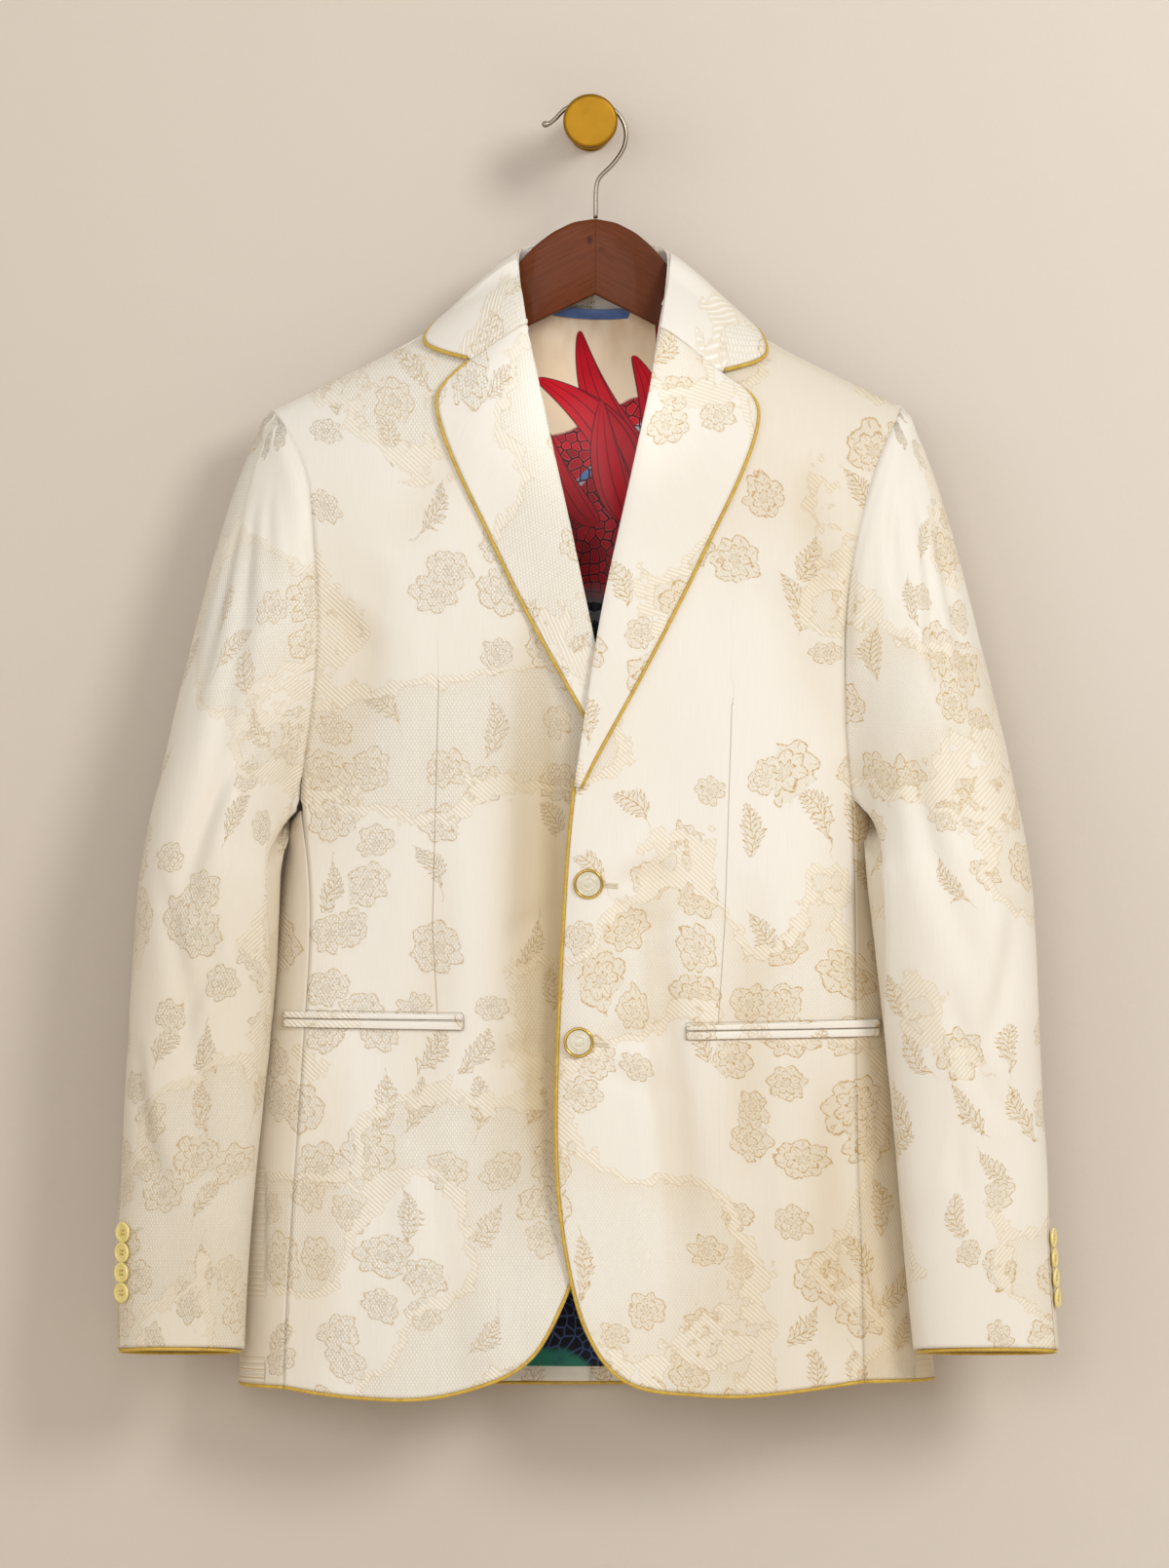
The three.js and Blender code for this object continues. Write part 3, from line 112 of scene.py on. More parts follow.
class Finish:
    """One material, built node by node."""

    def __init__(self, name):
        self.material = bpy.data.materials.new(name)
        self.material.use_nodes = True
        self.tree = self.material.node_tree
        self.tree.nodes.clear()

    def node(self, kind, settings=None, inputs=None, out=0):
        made = self.tree.nodes.new(kind)
        for key, value in (settings or {}).items():
            setattr(made, key, value)
        for key, value in (inputs or {}).items():
            if isinstance(value, Wire):
                self.tree.links.new(value.socket, made.inputs[key])
            else:
                made.inputs[key].default_value = value
        return Wire(self, made.outputs[out]) if len(made.outputs) else None

    def number(self, operation, *values):
        return self.node("ShaderNodeMath", {"operation": operation}, dict(enumerate(values)))

    def stored(self, name):
        """A vector stored on the mesh."""
        return self.node("ShaderNodeAttribute", {"attribute_name": name}, out=1)

    def parts(self, vector):
        split = self.node("ShaderNodeSeparateXYZ", {}, {0: vector}).socket.node
        return [Wire(self, part) for part in split.outputs]

    def vector(self, x, y, z=0.0):
        return self.node("ShaderNodeCombineXYZ", {}, {0: x, 1: y, 2: z})

    def vectors(self, operation, a, b):
        return self.node("ShaderNodeVectorMath", {"operation": operation}, {0: a, 1: b})

    def place(self):
        """Where the point is in the frame, in metres."""
        return self.node("ShaderNodeTexCoord", out=3)

    def place_mm(self):
        return self.vectors("MULTIPLY", self.place(), (1000.0, 1000.0, 1000.0))

    def cloth_mm(self):
        """Where the point lies on the cut cloth, in mm."""
        return self.vectors("MULTIPLY", self.stored("cloth"), (1000.0, 1000.0, 0.0))

    def noise(self, at, scale, detail=2.0, rough=0.5, distortion=0.0, flat=True):
        inputs = {"Vector": at, "Scale": scale, "Detail": detail}
        inputs |= {"Roughness": rough, "Distortion": distortion}
        settings = {"noise_dimensions": "2D" if flat else "3D"}
        return self.node("ShaderNodeTexNoise", settings, inputs)

    def cells(self, at, scale, loose, wanted, feature="F1"):
        settings = {"voronoi_dimensions": "2D", "feature": feature}
        inputs = {"Vector": at, "Scale": scale, "Randomness": loose}
        made = self.node("ShaderNodeTexVoronoi", settings, inputs).socket.node
        return [Wire(self, made.outputs[name]) for name in wanted]

    def mix(self, share, a, b, blend="MIX"):
        settings = {"data_type": "RGBA", "blend_type": blend}
        return self.node("ShaderNodeMix", settings, {0: share, 6: a, 7: b}, out=2)

    def bump(self, height, distance, strength=1.0):
        inputs = {"Height": height, "Distance": distance, "Strength": strength}
        return self.node("ShaderNodeBump", {}, inputs)

    def surface(self, **inputs):
        named = {key.replace("_", " "): value for key, value in inputs.items()}
        shader = self.node("ShaderNodeBsdfPrincipled", {}, named)
        self.node("ShaderNodeOutputMaterial", {}, {"Surface": shader})
        return self.material


def shade(code):
    """Linear colour of an sRGB hex code."""
    parts = [int(code[i : i + 2], 16) / 255 for i in (0, 2, 4)]
    linear = (c / 12.92 if c < 0.04045 else ((c + 0.055) / 1.055) ** 2.4 for c in parts)
    return (*linear, 1.0)


def polar(f, at, spot):
    """Offsets, distance and bearing of a point from its cell's middle."""
    dx, dy, _ = f.parts(f.vectors("SUBTRACT", at, spot))
    return dx, dy, (dx * dx + dy * dy).sqrt(), f.number("ARCTAN2", dy, dx)


# Figure of the jacquard in mm, and the levels of the fields that place it
MOTIF_PITCH, THICKET, BARB_PITCH, HATCH_PITCH = 38.0, 105, 4.3, 3.9
FLOWERS_FROM, FRONDS_FROM, BAND_LEVEL, CRISP = 0.545, 0.455, 0.540, 0.003


def sprigs(f, at, pitch=MOTIF_PITCH):
    """One whole motif to a cell, a layered dahlia or a fern frond, in drifts over the cloth."""
    spot, tint = f.cells(at, 1 / pitch, 0.72, ("Position", "Color"))
    dx, dy, reach, bearing = polar(f, at, spot)
    kind, turn, size = f.parts(tint)
    thick = f.noise(spot, 1 / THICKET, 0.0) + kind * 0.07

    ring = reach * (1 / (pitch * 0.150)) * (1.55 - size * 0.8)
    row = ring.floor()
    petal = abs((bearing * 3.5 + row * 1.571 + turn * 6.28).cos())
    beyond = ring - row - (petal * 0.60 + 0.22)
    flower = ring.below(2.0, 0.03).most(beyond.below(0, 0.06) * ring.below(3.0, 0.02))
    edge = abs(beyond).below(0.085, 0.06) * ring.below(3.0, 0.02)
    vein = petal.above(0.992, 0.006) * beyond.below(-0.2, 0.05) * flower * 0.6
    flower_line = edge.most(vein)

    lean = turn * 1.9 + 0.6
    c, s = lean.cos(), lean.sin()
    along = dx * c + dy * s
    across = abs(dy * c - dx * s - along * along * 0.011)
    taper = 1 - along * along * (1 / (pitch * 0.50) ** 2)
    lens_at = across / (taper * 7.8).most(0.3)
    barb = abs(((along - across * 0.9) * (1 / BARB_PITCH)).fract() - 0.5) * 2.0
    beyond = (1 - lens_at * lens_at) - barb
    frond = beyond.above(0, 0.08)
    stalk = across.below(0.32, 0.22) * taper.above(0.02, 0.02)
    frond_line = (abs(beyond).below(0.17, 0.12) * lens_at.below(1.1, 0.1)).most(stalk)

    flowering = thick.above(FLOWERS_FROM, 0.002)
    leafing = thick.above(FRONDS_FROM, 0.002) * (1 - flowering)
    fill = (flower * flowering).most(frond * leafing)
    line = (flower_line * flowering).most(frond_line * leafing)
    return fill, line


# Printed lining in mm: its cells, and root, tip, bow and half width of its leaves
LINING_CELL = 7.2
LINING_LEAVES = (
    (60, -262, 47, -134, -6, 13),
    (-30, -270, -54, -190, -5, 12),
    (50, -250, -8, -143, 12, 15),
    (36, -262, -38, -176, -13, 17),
    (4, -280, -30, -214, 8, 12),
    (52, -262, 30, -160, -8, 15),
    (30, -280, 8, -192, 7, 14),
)


def laid_leaf(u, v, row):
    """A pointed leaf between two points: fill and lines of its edge and veins."""
    x0, z0, x1, z1, bow, half = row
    dx, dz = x1 - x0, z1 - z0
    length = math.hypot(dx, dz)
    along = ((u - x0) * dx + (v - z0) * dz) * (1 / length**2)
    bulge = (along * (1 - along)).most(0.0)
    across = ((v - z0) * dx - (u - x0) * dz) * (1 / length) - bulge * (4 * bow)
    width = bulge.sqrt() * (1 - along * 0.62) * (half * 2.4)
    fill = (width - abs(across)).above(0, 0.3) * bulge.above(0.004, 0.003)
    streak = (across / width.most(0.5) * 9.0 + along * 5.0).sin()
    line = abs(width - abs(across)).below(0.4, 0.3) * bulge.above(0.012, 0.006)
    line = line.most(streak.above(0.93, 0.06) * fill * 0.75)
    return fill, line


def jacquard(name, line_tone, thread_white_and_glint, relief):
    """Ivory figured cloth: dahlias, fern fronds, hatched bands and stippled drifts on satin, with
    painted warm shade multiplied in where the mesh stores it.
    """
    f = Finish(name)
    at = f.cloth_mm()
    u, v, _ = f.parts(at)
    band_field, cloud, wash = f.parts(f.stored("waves"))
    # Darts, pocket edges and the share of painted shade, as stored on the mesh
    dart, pocket, painted_shade = f.parts(f.stored("sewn"))
    rough_edge = f.noise(at, 1 / 13, 2.0) - 0.5
    sway = f.vector(cloud * 26 + rough_edge * 9, wash * 22 - rough_edge * 7)
    fill, line = sprigs(f, f.vectors("ADD", at, sway))

    shore = band_field + rough_edge * 0.15
    band = shore.near(BAND_LEVEL, 0.024, CRISP)
    outer = shore.near(BAND_LEVEL + 0.027, 0.003, CRISP)
    rim = outer.most(shore.near(BAND_LEVEL - 0.027, 0.003, CRISP) * 0.7)
    core = shore.above(BAND_LEVEL + 0.026, CRISP)
    bare = 1 - band
    broken = f.noise(at, 1 / 1.5, 0.0).above(0.47, 0.13) * 0.65 + 0.35
    fill, line = fill * bare, (line * bare).most(rim * 0.55) * broken
    hatch = ((u + v * 1.1) * (1 / HATCH_PITCH)).fract().near(0.5, 0.17, 0.14)
    net = abs((u * 1.25 + v * 0.75).sin()) * abs((u * 1.25 - v * 0.75).sin())
    dots = net.above(0.45, 0.2) * core * (1 - fill)
    threads = (hatch * band).most(dots).most(fill * net.above(0.3, 0.2))
    slub = f.noise(f.vectors("MULTIPLY", at, (1.3, 0.045, 1.0)), 1.0, 0.0)
    # Mask of the darts, pocket welt outlines and the slit between welts
    seam_and_groove_shade = abs(dart).below(0.30, 0.25).most(abs(pocket).below(0.25, 0.25) * 0.9)

    ground = f.mix(cloud, shade("EAE5DA"), shade("F3EFE7"))
    ground = f.mix(slub.above(0.5, 0.5) * 0.30, ground, shade("E6DDCB"))
    tinted = core * (shore.below(0.66, 0.09) * 0.16 + 0.05) + fill * 0.20 + band * 0.34
    worked = f.mix(tinted * line_tone, ground, shade("DBC184"))
    # Whiter threads: partly the figure's white floats, partly a painted glint of the satin,
    # stronger on the raised copy
    worked = f.mix((threads * thread_white_and_glint).most(hatch * band * 0.85), worked, shade("FBF8F0"))
    worked = f.mix(line * line_tone, worked, shade("C6A258"))
    # Darkened sewn lines: partly the seam's own tone, partly painted shade in its groove
    worked = f.mix(seam_and_groove_shade * 0.6, worked, shade("8A6B38"))
    # Painted shade: warm tan multiplied in by the stored share, in troughs, beside the lap, under
    # the arms, on side panels and on under sleeves
    worked = f.mix(painted_shade, worked, shade("CDB274"), "MULTIPLY")
    return f.surface(
        Base_Color=worked,
        Roughness=0.47 - fill * 0.06 + slub * 0.1,
        Normal=f.bump(line * 0.6 + threads + slub * 0.25 - seam_and_groove_shade * 0.7, relief),
        Specular_IOR_Level=0.4,
        Sheen_Weight=0.15,
        Sheen_Roughness=0.4,
        Sheen_Tint=shade("FFF1D6"),
    )


def lining_satin():
    """Printed satin: crimson leaves over cells and peach, navy and teal towards the hem."""
    f = Finish("printed lining satin")
    at = f.cloth_mm()
    u, v, _ = f.parts(at)
    sway = f.noise(at, 1 / 60, 2.0, 0.5)
    bent = f.vectors("ADD", at, f.vector(sway * 26, sway * 18))
    (edge,) = f.cells(bent, 1 / LINING_CELL, 0.8, ("Distance",), "DISTANCE_TO_EDGE")
    (tone,) = f.cells(bent, 1 / LINING_CELL, 0.8, ("Color",))
    tone_x, tone_y, _ = f.parts(tone)
    low_zone = (v + sway * 60).below(-292.0, 10.0)
    deep_zone = (v + sway * 50).below(-560.0, 30.0)
    mid_zone = (v + sway * 24 - u * 0.4).below(-192.0, 1.0)

    peach = f.mix(sway, shade("FFF0DA"), shade("FFE1B8"))
    # Painted shade of soft vertical gathers in the peach near the top
    painted_gather_shade = f.noise(f.vectors("MULTIPLY", at, (0.09, 0.045, 1.0)), 1.0, 1.0).above(0.56, 0.20)
    peach = f.mix(painted_gather_shade * v.above(-160.0, 26.0) * 0.40, peach, shade("DDAE74"))
    tiles = f.mix(tone_x, shade("A80820"), shade("E0182F"))
    tiles = f.mix(edge.below(0.07, 0.035), tiles, shade("3A0A12"))
    tiles = f.mix(edge.near(0.12, 0.02, 0.02) * 0.35, tiles, shade("F07A78"))
    beads = (v - u * 0.75 + sway * 30).near(-226.0, 3.2, 0.4) * edge.above(0.08, 0.02)
    tiles = f.mix(beads, tiles, f.mix(tone_y.above(0.7, 0.01), shade("B9C2CC"), shade("5E93CF")))
    colour = f.mix(mid_zone, peach, tiles)
    for row in LINING_LEAVES:
        fill, line = laid_leaf(u, v, row)
        flesh = f.mix(sway.above(0.5, 0.25), shade("B80D22"), shade("E3182F"))
        colour = f.mix(fill, colour, flesh)
        colour = f.mix(line, colour, shade("4A0A14"))
    dusk = f.mix(edge.below(0.10, 0.04), shade("343943"), shade("101218"))
    dusk = f.mix(tone_x.above(0.7, 0.05), dusk, shade("8A8F95"))
    deep = f.mix(edge.below(0.08, 0.04), shade("141722"), shade("44568A"))
    deep = f.mix(sway.above(0.56, 0.03), deep, shade("2F7F70"))
    colour = f.mix(low_zone, colour, dusk)
    colour = f.mix(deep_zone, colour, deep)
    weave = ((u + v) * 2.2).sin() * 0.3 + f.noise(at, 0.8, 1.0) * 0.5
    return f.surface(
        Base_Color=colour,
        Roughness=0.34 + weave * 0.06,
        Normal=f.bump(weave, 0.00006),
        Specular_IOR_Level=0.12,
    )


def bias_satin():
    """Gold bias-cut satin of the piping, with the slant of its threads."""
    f = Finish("gold bias satin")
    at = f.place_mm()
    x, y, z = f.parts(at)
    thread = ((x + z + y) * 5.2).sin()
    pull = f.noise(at, 0.16, 2.0, 0.6, flat=False)
    wear = f.noise(at, 0.9, 2.0, 0.6, flat=False)
    colour = f.mix(pull.above(0.5, 0.25), shade("B78C1C"), shade("D9B23A"))
    colour = f.mix(wear.above(0.55, 0.15) * 0.5, colour, shade("E9CF6E"))
    return f.surface(
        Base_Color=colour,
        Roughness=0.40 + wear * 0.12,
        Normal=f.bump(thread * 0.4 + pull * 1.6, 0.00012),
        Specular_IOR_Level=0.5,
        Sheen_Weight=0.3,
        Sheen_Tint=shade("FFE9A0"),
    )


def ribbon():
    f = Finish("blue satin ribbon")
    at = f.place_mm()
    x, _, z = f.parts(at)
    cross = (x * 9.0).sin() * 0.5 + (z * 14.0).sin() * 0.5
    soft = f.noise(at, 0.12, 2.0, flat=False)
    colour = f.mix(soft, shade("3A60A4"), shade("6F92CC"))
    return f.surface(
        Base_Color=colour,
        Roughness=0.34 + cross * 0.05,
        Normal=f.bump(cross * 0.3 + soft, 0.0001),
        Specular_IOR_Level=0.6,
        Sheen_Weight=0.2,
    )


def mahogany():
    """Polished wood with two knots and a glued joint, its grain following the arms' slope."""
    f = Finish("polished mahogany")
    at = f.place_mm()
    x, y, z = f.parts(at)
    arm = abs(x - 3.6)
    rise = z + arm * 0.52 + (arm * arm) * 0.0006

    def knot_at(place_x, place_z, narrow):
        dx, dz = (x - place_x) * narrow, z - place_z
        return (dx * dx + dz * dz).sqrt()

    knot = knot_at(-0.5, -82.0, 1.5)
    grain_at = f.vector(arm * 0.05, y * 0.35, rise + (1 / (knot * 0.12 + 1)) * 5.0)
    rings = f.noise(grain_at, 0.42, 4.0, 0.62, 0.6, flat=False)
    pores = f.noise(f.vector(arm * 0.06, y, rise * 2.6), 1.1, 2.0, 0.6, flat=False)
    blotch = f.noise(at, 0.03, 2.0, flat=False)
    colour = f.mix(rings.above(0.5, 0.5), shade("522409"), shade("7E421C"))
    colour = f.mix(blotch.above(0.5, 0.3) * 0.5, colour, shade("662A0D"))
    colour = f.mix(pores.above(0.62, 0.05) * 0.45, colour, shade("2C1009"))
    colour = f.mix(knot.below(2.6, 1.8) * 0.85, colour, shade("2A1008"))
    colour = f.mix(knot_at(8.0, -88.5, 1.0).below(1.6, 1.6) * 0.5, colour, shade("2A1008"))
    # Darker towards the end of the right arm
    colour = f.mix((x * (1 / 70)).most(0.0).least(1.0) * 0.5, colour, shade("38170A"))
    joint = (x - 3.7).near(0.0, 0.12, 0.14)
    colour = f.mix(joint * 0.7, colour, shade("1F0C06"))
    return f.surface(
        Base_Color=colour,
        Roughness=0.44 + pores * 0.12,
        Normal=f.bump(rings * 0.3 - pores * 0.25 - joint * 1.2, 0.00018),
        Specular_IOR_Level=0.14,
        Coat_Weight=0.06,
        Coat_Roughness=0.12,
    )


def metal(name, dark, light, rough, streak):
    """Bare metal, brushed or satin, with faint handling marks."""
    f = Finish(name)
    at = f.place_mm()
    brushed = f.noise(f.vectors("MULTIPLY", at, streak), 1.0, 3.0, 0.6, flat=False)
    marks = f.noise(at, 0.07, 3.0, 0.6, flat=False)
    colour = f.mix(marks, shade(dark), shade(light))
    return f.surface(
        Base_Color=colour,
        Metallic=1.0,
        Roughness=rough + brushed * 0.12 + marks * 0.06,
        Normal=f.bump(brushed, 0.00003),
    )


def button_face(name, dark, light, rough, coat, wave):
    """Cast or pressed button material with a slow swirl in its depth."""
    f = Finish(name)
    at = f.place_mm()
    swirl = f.noise(at, wave, 3.0, 0.5, 1.2, flat=False)
    fine = f.noise(at, 2.2, 2.0, flat=False)
    colour = f.mix(swirl.above(0.5, 0.3), shade(dark), shade(light))
    return f.surface(
        Base_Color=colour,
        Roughness=rough + fine * 0.08,
        Normal=f.bump(swirl * 0.6 + fine * 0.2, 0.00005),
        Coat_Weight=coat,
        Coat_Roughness=0.1,
        Specular_IOR_Level=0.5,
    )


def thread(name, dark, light):
    f = Finish(name)
    at = f.place_mm()
    x, _, z = f.parts(at)
    ply = ((x * 1.3 + z) * 11.0).sin()
    tone = f.noise(at, 0.8, 2.0, flat=False)
    return f.surface(
        Base_Color=f.mix(tone, shade(dark), shade(light)),
        Roughness=0.55 + tone * 0.1,
        Normal=f.bump(ply, 0.00004),
        Sheen_Weight=0.3,
    )


# Two copies of the jacquard, which differ partly in the figure and partly by painted light: the
# raised copy, on the wearer's right and the collar, has more painted glint on its threads; the
# drawn copy, on the wearer's left, has less glint and stronger golden lines
CLOTH_DRAWN_LESS_GLINT = jacquard("ivory jacquard, drawn figure, less painted glint", 0.98, 0.30, 0.00018)
CLOTH_RAISED_MORE_GLINT = jacquard("ivory jacquard, raised figure, more painted glint", 0.72, 0.60, 0.00030)
LINING = lining_satin()
PIPING = bias_satin()
RIBBON = ribbon()
WOOD = mahogany()
NICKEL = metal("brushed nickel wire", "8F877A", "B5AD9F", 0.24, (0.9, 0.9, 0.12))
BRASS = metal("satin brass", "946B1C", "B4872C", 0.38, (0.5, 0.5, 1.4))
GILT = metal("polished gilt rim", "B99440", "E2C46C", 0.16, (0.4, 0.4, 0.4))
PEARL = button_face("silvered button face", "C9C2A8", "E9E4D2", 0.30, 0.5, 0.35)
BUTTER = button_face("butter yellow button", "E6CE6C", "F6E7A0", 0.18, 0.7, 0.22)
CREAM_THREAD = thread("cream buttonhole thread", "E6D8B6", "F4ECD6")
YELLOW_THREAD = thread("yellow button thread", "C9A63C", "E2C663")


# Meshes
def new_object(name, mesh):
    piece = bpy.data.objects.new(name, mesh)
    SCENE.collection.objects.link(piece)
    return piece


def modified(piece):
    """Mesh of an object with its modifiers applied."""
    graph = bpy.context.evaluated_depsgraph_get()
    return bpy.data.meshes.new_from_object(piece.evaluated_get(graph))


@contextmanager
def reworked(mesh):
    """Faces and edges of a mesh to edit, put back into it at the end."""
    work = bmesh.new()
    work.from_mesh(mesh)
    yield work
    work.to_mesh(mesh)
    work.free()


def mesh_of(name, verts, faces):
    mesh = bpy.data.meshes.new(name)
    mesh.from_pydata(verts, [], faces)
    mesh.update()
    return mesh


def tube_faces(base, rings, sides):
    """Faces of a closed tube of rings of points that start at base."""
    faces = []
    for i in range(rings - 1):
        for k in range(sides):
            a, b = base + i * sides + k, base + i * sides + (k + 1) % sides
            faces.append((a, b, b + sides, a + sides))
    last = base + (rings - 1) * sides
    faces.append(tuple(base + k for k in reversed(range(sides))))
    faces.append(tuple(last + k for k in range(sides)))
    return faces


def points_of(mesh):
    co = np.empty(len(mesh.vertices) * 3)
    mesh.vertices.foreach_get("co", co)
    return co.reshape(-1, 3)


def normals_of(mesh):
    no = np.empty(len(mesh.vertices) * 3)
    mesh.vertex_normals.foreach_get("vector", no)
    return no.reshape(-1, 3)


def seen(co):
    """Places as seen from the front: x and z in mm."""
    return co[:, 0] / MM, co[:, 2] / MM


def set_back(co, depth):
    """Points moved away from the viewer by a depth in mm."""
    return co + np.outer(depth * MM, (0.0, 1.0, 0.0))


def set_points(mesh, co):
    mesh.vertices.foreach_set("co", np.ascontiguousarray(co, float).ravel())
    mesh.update()


def store(mesh, name, vectors):
    layer = mesh.attributes.new(name, "FLOAT_VECTOR", "POINT")
    layer.data.foreach_set("vector", vectors.astype(np.float32).ravel())


def smoothed(node, levels, sharp=45.0, grow=0.0, reach=0.0):
    """Fine mesh on the form of one CAD node: quads, sharp rims kept, rounded between.
    The cut edges grow by reach, so that pieces sewn together meet."""
    mesh = NODES[node].data.copy()
    mesh.materials.clear()
    for _ in ("face", "cut edge"):
        mesh.materials.append(None)
    with reworked(mesh) as work:
        bmesh.ops.remove_doubles(work, verts=work.verts[:], dist=2e-6)
        bent, skewed = math.radians(38), math.radians(60)
        bmesh.ops.join_triangles(
            work, faces=work.faces[:], angle_face_threshold=bent, angle_shape_threshold=skewed
        )
        crease = work.edges.layers.float.new("crease_edge")
        for edge in work.edges:
            if len(edge.link_faces) == 2 and edge.calc_face_angle(0.0) > math.radians(sharp):
                edge[crease] = 1.0
        for face in work.faces:
            rim = sum(edge[crease] > 0 for edge in face.edges) >= 2 and slim(face)
            face.material_index = int(rim)
    piece = new_object(node + "_form", mesh)
    rounder = piece.modifiers.new("rounder", "SUBSURF")
    rounder.levels = rounder.render_levels = levels
    rounder.subdivision_type = "CATMULL_CLARK"
    fine = modified(piece)
    bpy.data.objects.remove(piece)
    if grow:
        set_points(fine, points_of(fine) + normals_of(fine) * grow)
    if reach:
        set_points(fine, points_of(fine) + rim_normals(fine) * reach)
    return fine


def slim(face):
    """True for the narrow faces along the cut edge of a sheet."""
    thinnest = min(edge.calc_length() for edge in face.edges)
    return thinnest < CLOTH_MOST and len(face.edges) <= 4


def rim_normals(mesh):
    """Direction out of the cut edge at each of its points, and nothing elsewhere."""
    out = np.zeros((len(mesh.vertices), 3))
    for poly in mesh.polygons:
        if poly.material_index == 1:
            out[list(poly.vertices)] += np.array(poly.normal)
    length = np.linalg.norm(out, axis=1, keepdims=True)
    return out / np.maximum(length, 1e-9)


def joined(meshes):
    """One mesh of several."""
    work = bmesh.new()
    for mesh in meshes:
        work.from_mesh(mesh)
    whole = bpy.data.meshes.new("joined")
    work.to_mesh(whole)
    work.free()
    return whole


def finished(name, mesh, material, replaced):
    """Names the piece, gives it its finish and hides the CAD nodes that it stands for."""
    piece = new_object(name, mesh)
    mesh.materials.clear()
    mesh.materials.append(material)
    mesh.polygons.foreach_set("use_smooth", [True] * len(mesh.polygons))
    mesh.update()
    if replaced:
        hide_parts(*replaced)
    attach(piece, "root")
    return piece


# Random tables repeat after TILE features and start well before the cloth
TILE = 64
TILE_START = (300.37, 300.71)


def drift(u, v, pitch, seed):
    """Smooth random field over the cloth, 0 to 1, with features of the given pitch in mm."""
    table = np.random.default_rng(seed).random((TILE, TILE))
    a, b = u / pitch + TILE_START[0], v / pitch + TILE_START[1]
    i, j = np.floor(a).astype(int), np.floor(b).astype(int)
    s, t = a - i, b - j
    s, t = s * s * (3 - 2 * s), t * t * (3 - 2 * t)
    i0, i1, j0, j1 = i % TILE, (i + 1) % TILE, j % TILE, (j + 1) % TILE
    near = table[i0, j0] * (1 - s) + table[i1, j0] * s
    far = table[i0, j1] * (1 - s) + table[i1, j1] * s
    return near * (1 - t) + far * t


def drifts(u, v, pitch, seed):
    """The same field with a finer one laid over it."""
    return (drift(u, v, pitch, seed) + 0.5 * drift(u, v, pitch / 2, seed + 1)) / 1.5


# Darts of the fronts in mm: height and x, waist to pocket
DARTS = {
    "right": ((-390, -105.0), (-560, -109.5), (-622, -106.0)),
    "left": ((-404, 98.0), (-560, 93.0), (-628, 88.5)),
}


def pocket_edge(x, z, hand):
    """Signed distances in mm from the outline of the pocket's welts and from its slit."""
    nodes = [NODES[f"pocket_{hand}_{k}_welt"] for k in ("upper", "lower")]
    co = np.concatenate([points_of(node.data) for node in nodes]) / MM
    slope, level = np.polyfit(co[:, 0], co[:, 2], 1)
    half = np.abs(co[:, 2] - slope * co[:, 0] - level).max()
    off = z - slope * x - level
    past_end = np.maximum(co[:, 0].min() - x, x - co[:, 0].max())
    return np.maximum(np.abs(off) - half, past_end), off


def painted_shade_of_sleeve(co, hand, under):
    """Share of painted warm shade, more on the under sleeve and towards the cuff."""
    lower = smooth_step(-co[:, 2] / MM, 300, 640)
    return (0.22 if under else 0.03) + (0.24 if hand == "right" else 0.04) * lower


# Fields of the jacquard's figure: pitch in mm and seed
WAVES = ((90, 5), (150, 7), (60, 91))
FAR_OFF = 50.0


def woven(mesh, run, hand=None, painted_shade=None, slit=False):
    """Stores the place on the cut cloth, the fields of its figure, the sewn lines and the share of
    painted shade on a mesh.
    """
    store(mesh, "cloth", run)
    u, v = run[:, 0] / MM, run[:, 1] / MM
    store(mesh, "waves", np.stack([drifts(u, v, *wave) for wave in WAVES], axis=1))
    dart, pocket = np.full(len(u), FAR_OFF), np.full(len(u), FAR_OFF)
    if hand:
        co = points_of(mesh)
        rows = np.array(DARTS[hand])[::-1]
        x, z = seen(co)
        pocket, dart = pocket_edge(x, z, hand)
        if not slit:
            past = np.maximum(z - rows[-1, 0], 0) + np.maximum(rows[0, 0] - z, 0)
            dart = x - np.interp(z, rows[:, 0], rows[:, 1])
            dart += np.where(dart < 0, -1, 1) * np.minimum(past, FAR_OFF)
    painted_shade = np.zeros(len(u)) if painted_shade is None else painted_shade
    store(mesh, "sewn", np.stack([dart, pocket, np.clip(painted_shade, 0, 1)], axis=1))


def smooth_step(value, start, end):
    t = np.clip((value - start) / (end - start), 0, 1)
    return t * t * (3 - 2 * t)


def crease_field(x, z, rows):
    """Soft troughs (depth below 0) and ridges as listed: two ends, bow, width and depth."""
    total = np.zeros_like(x)
    for x0, z0, x1, z1, bow, wide, deep in rows:
        dx, dz = x1 - x0, z1 - z0
        length = math.hypot(dx, dz)
        t = ((x - x0) * dx + (z - z0) * dz) / length**2
        off = ((z - z0) * dx - (x - x0) * dz) / length - bow * np.sin(np.pi * np.clip(t, 0, 1))
        ends = np.sin(np.pi * np.clip(t, 0, 1)) ** 0.8
        spread = wide * (0.65 + 0.5 * np.clip(t, 0, 1))
        trough = np.exp(-((off / spread) ** 2))
        ridge = 0.35 * np.exp(-(((off - 1.7 * spread) / spread) ** 2))
        total += deep * (trough - ridge) * ends
    return total


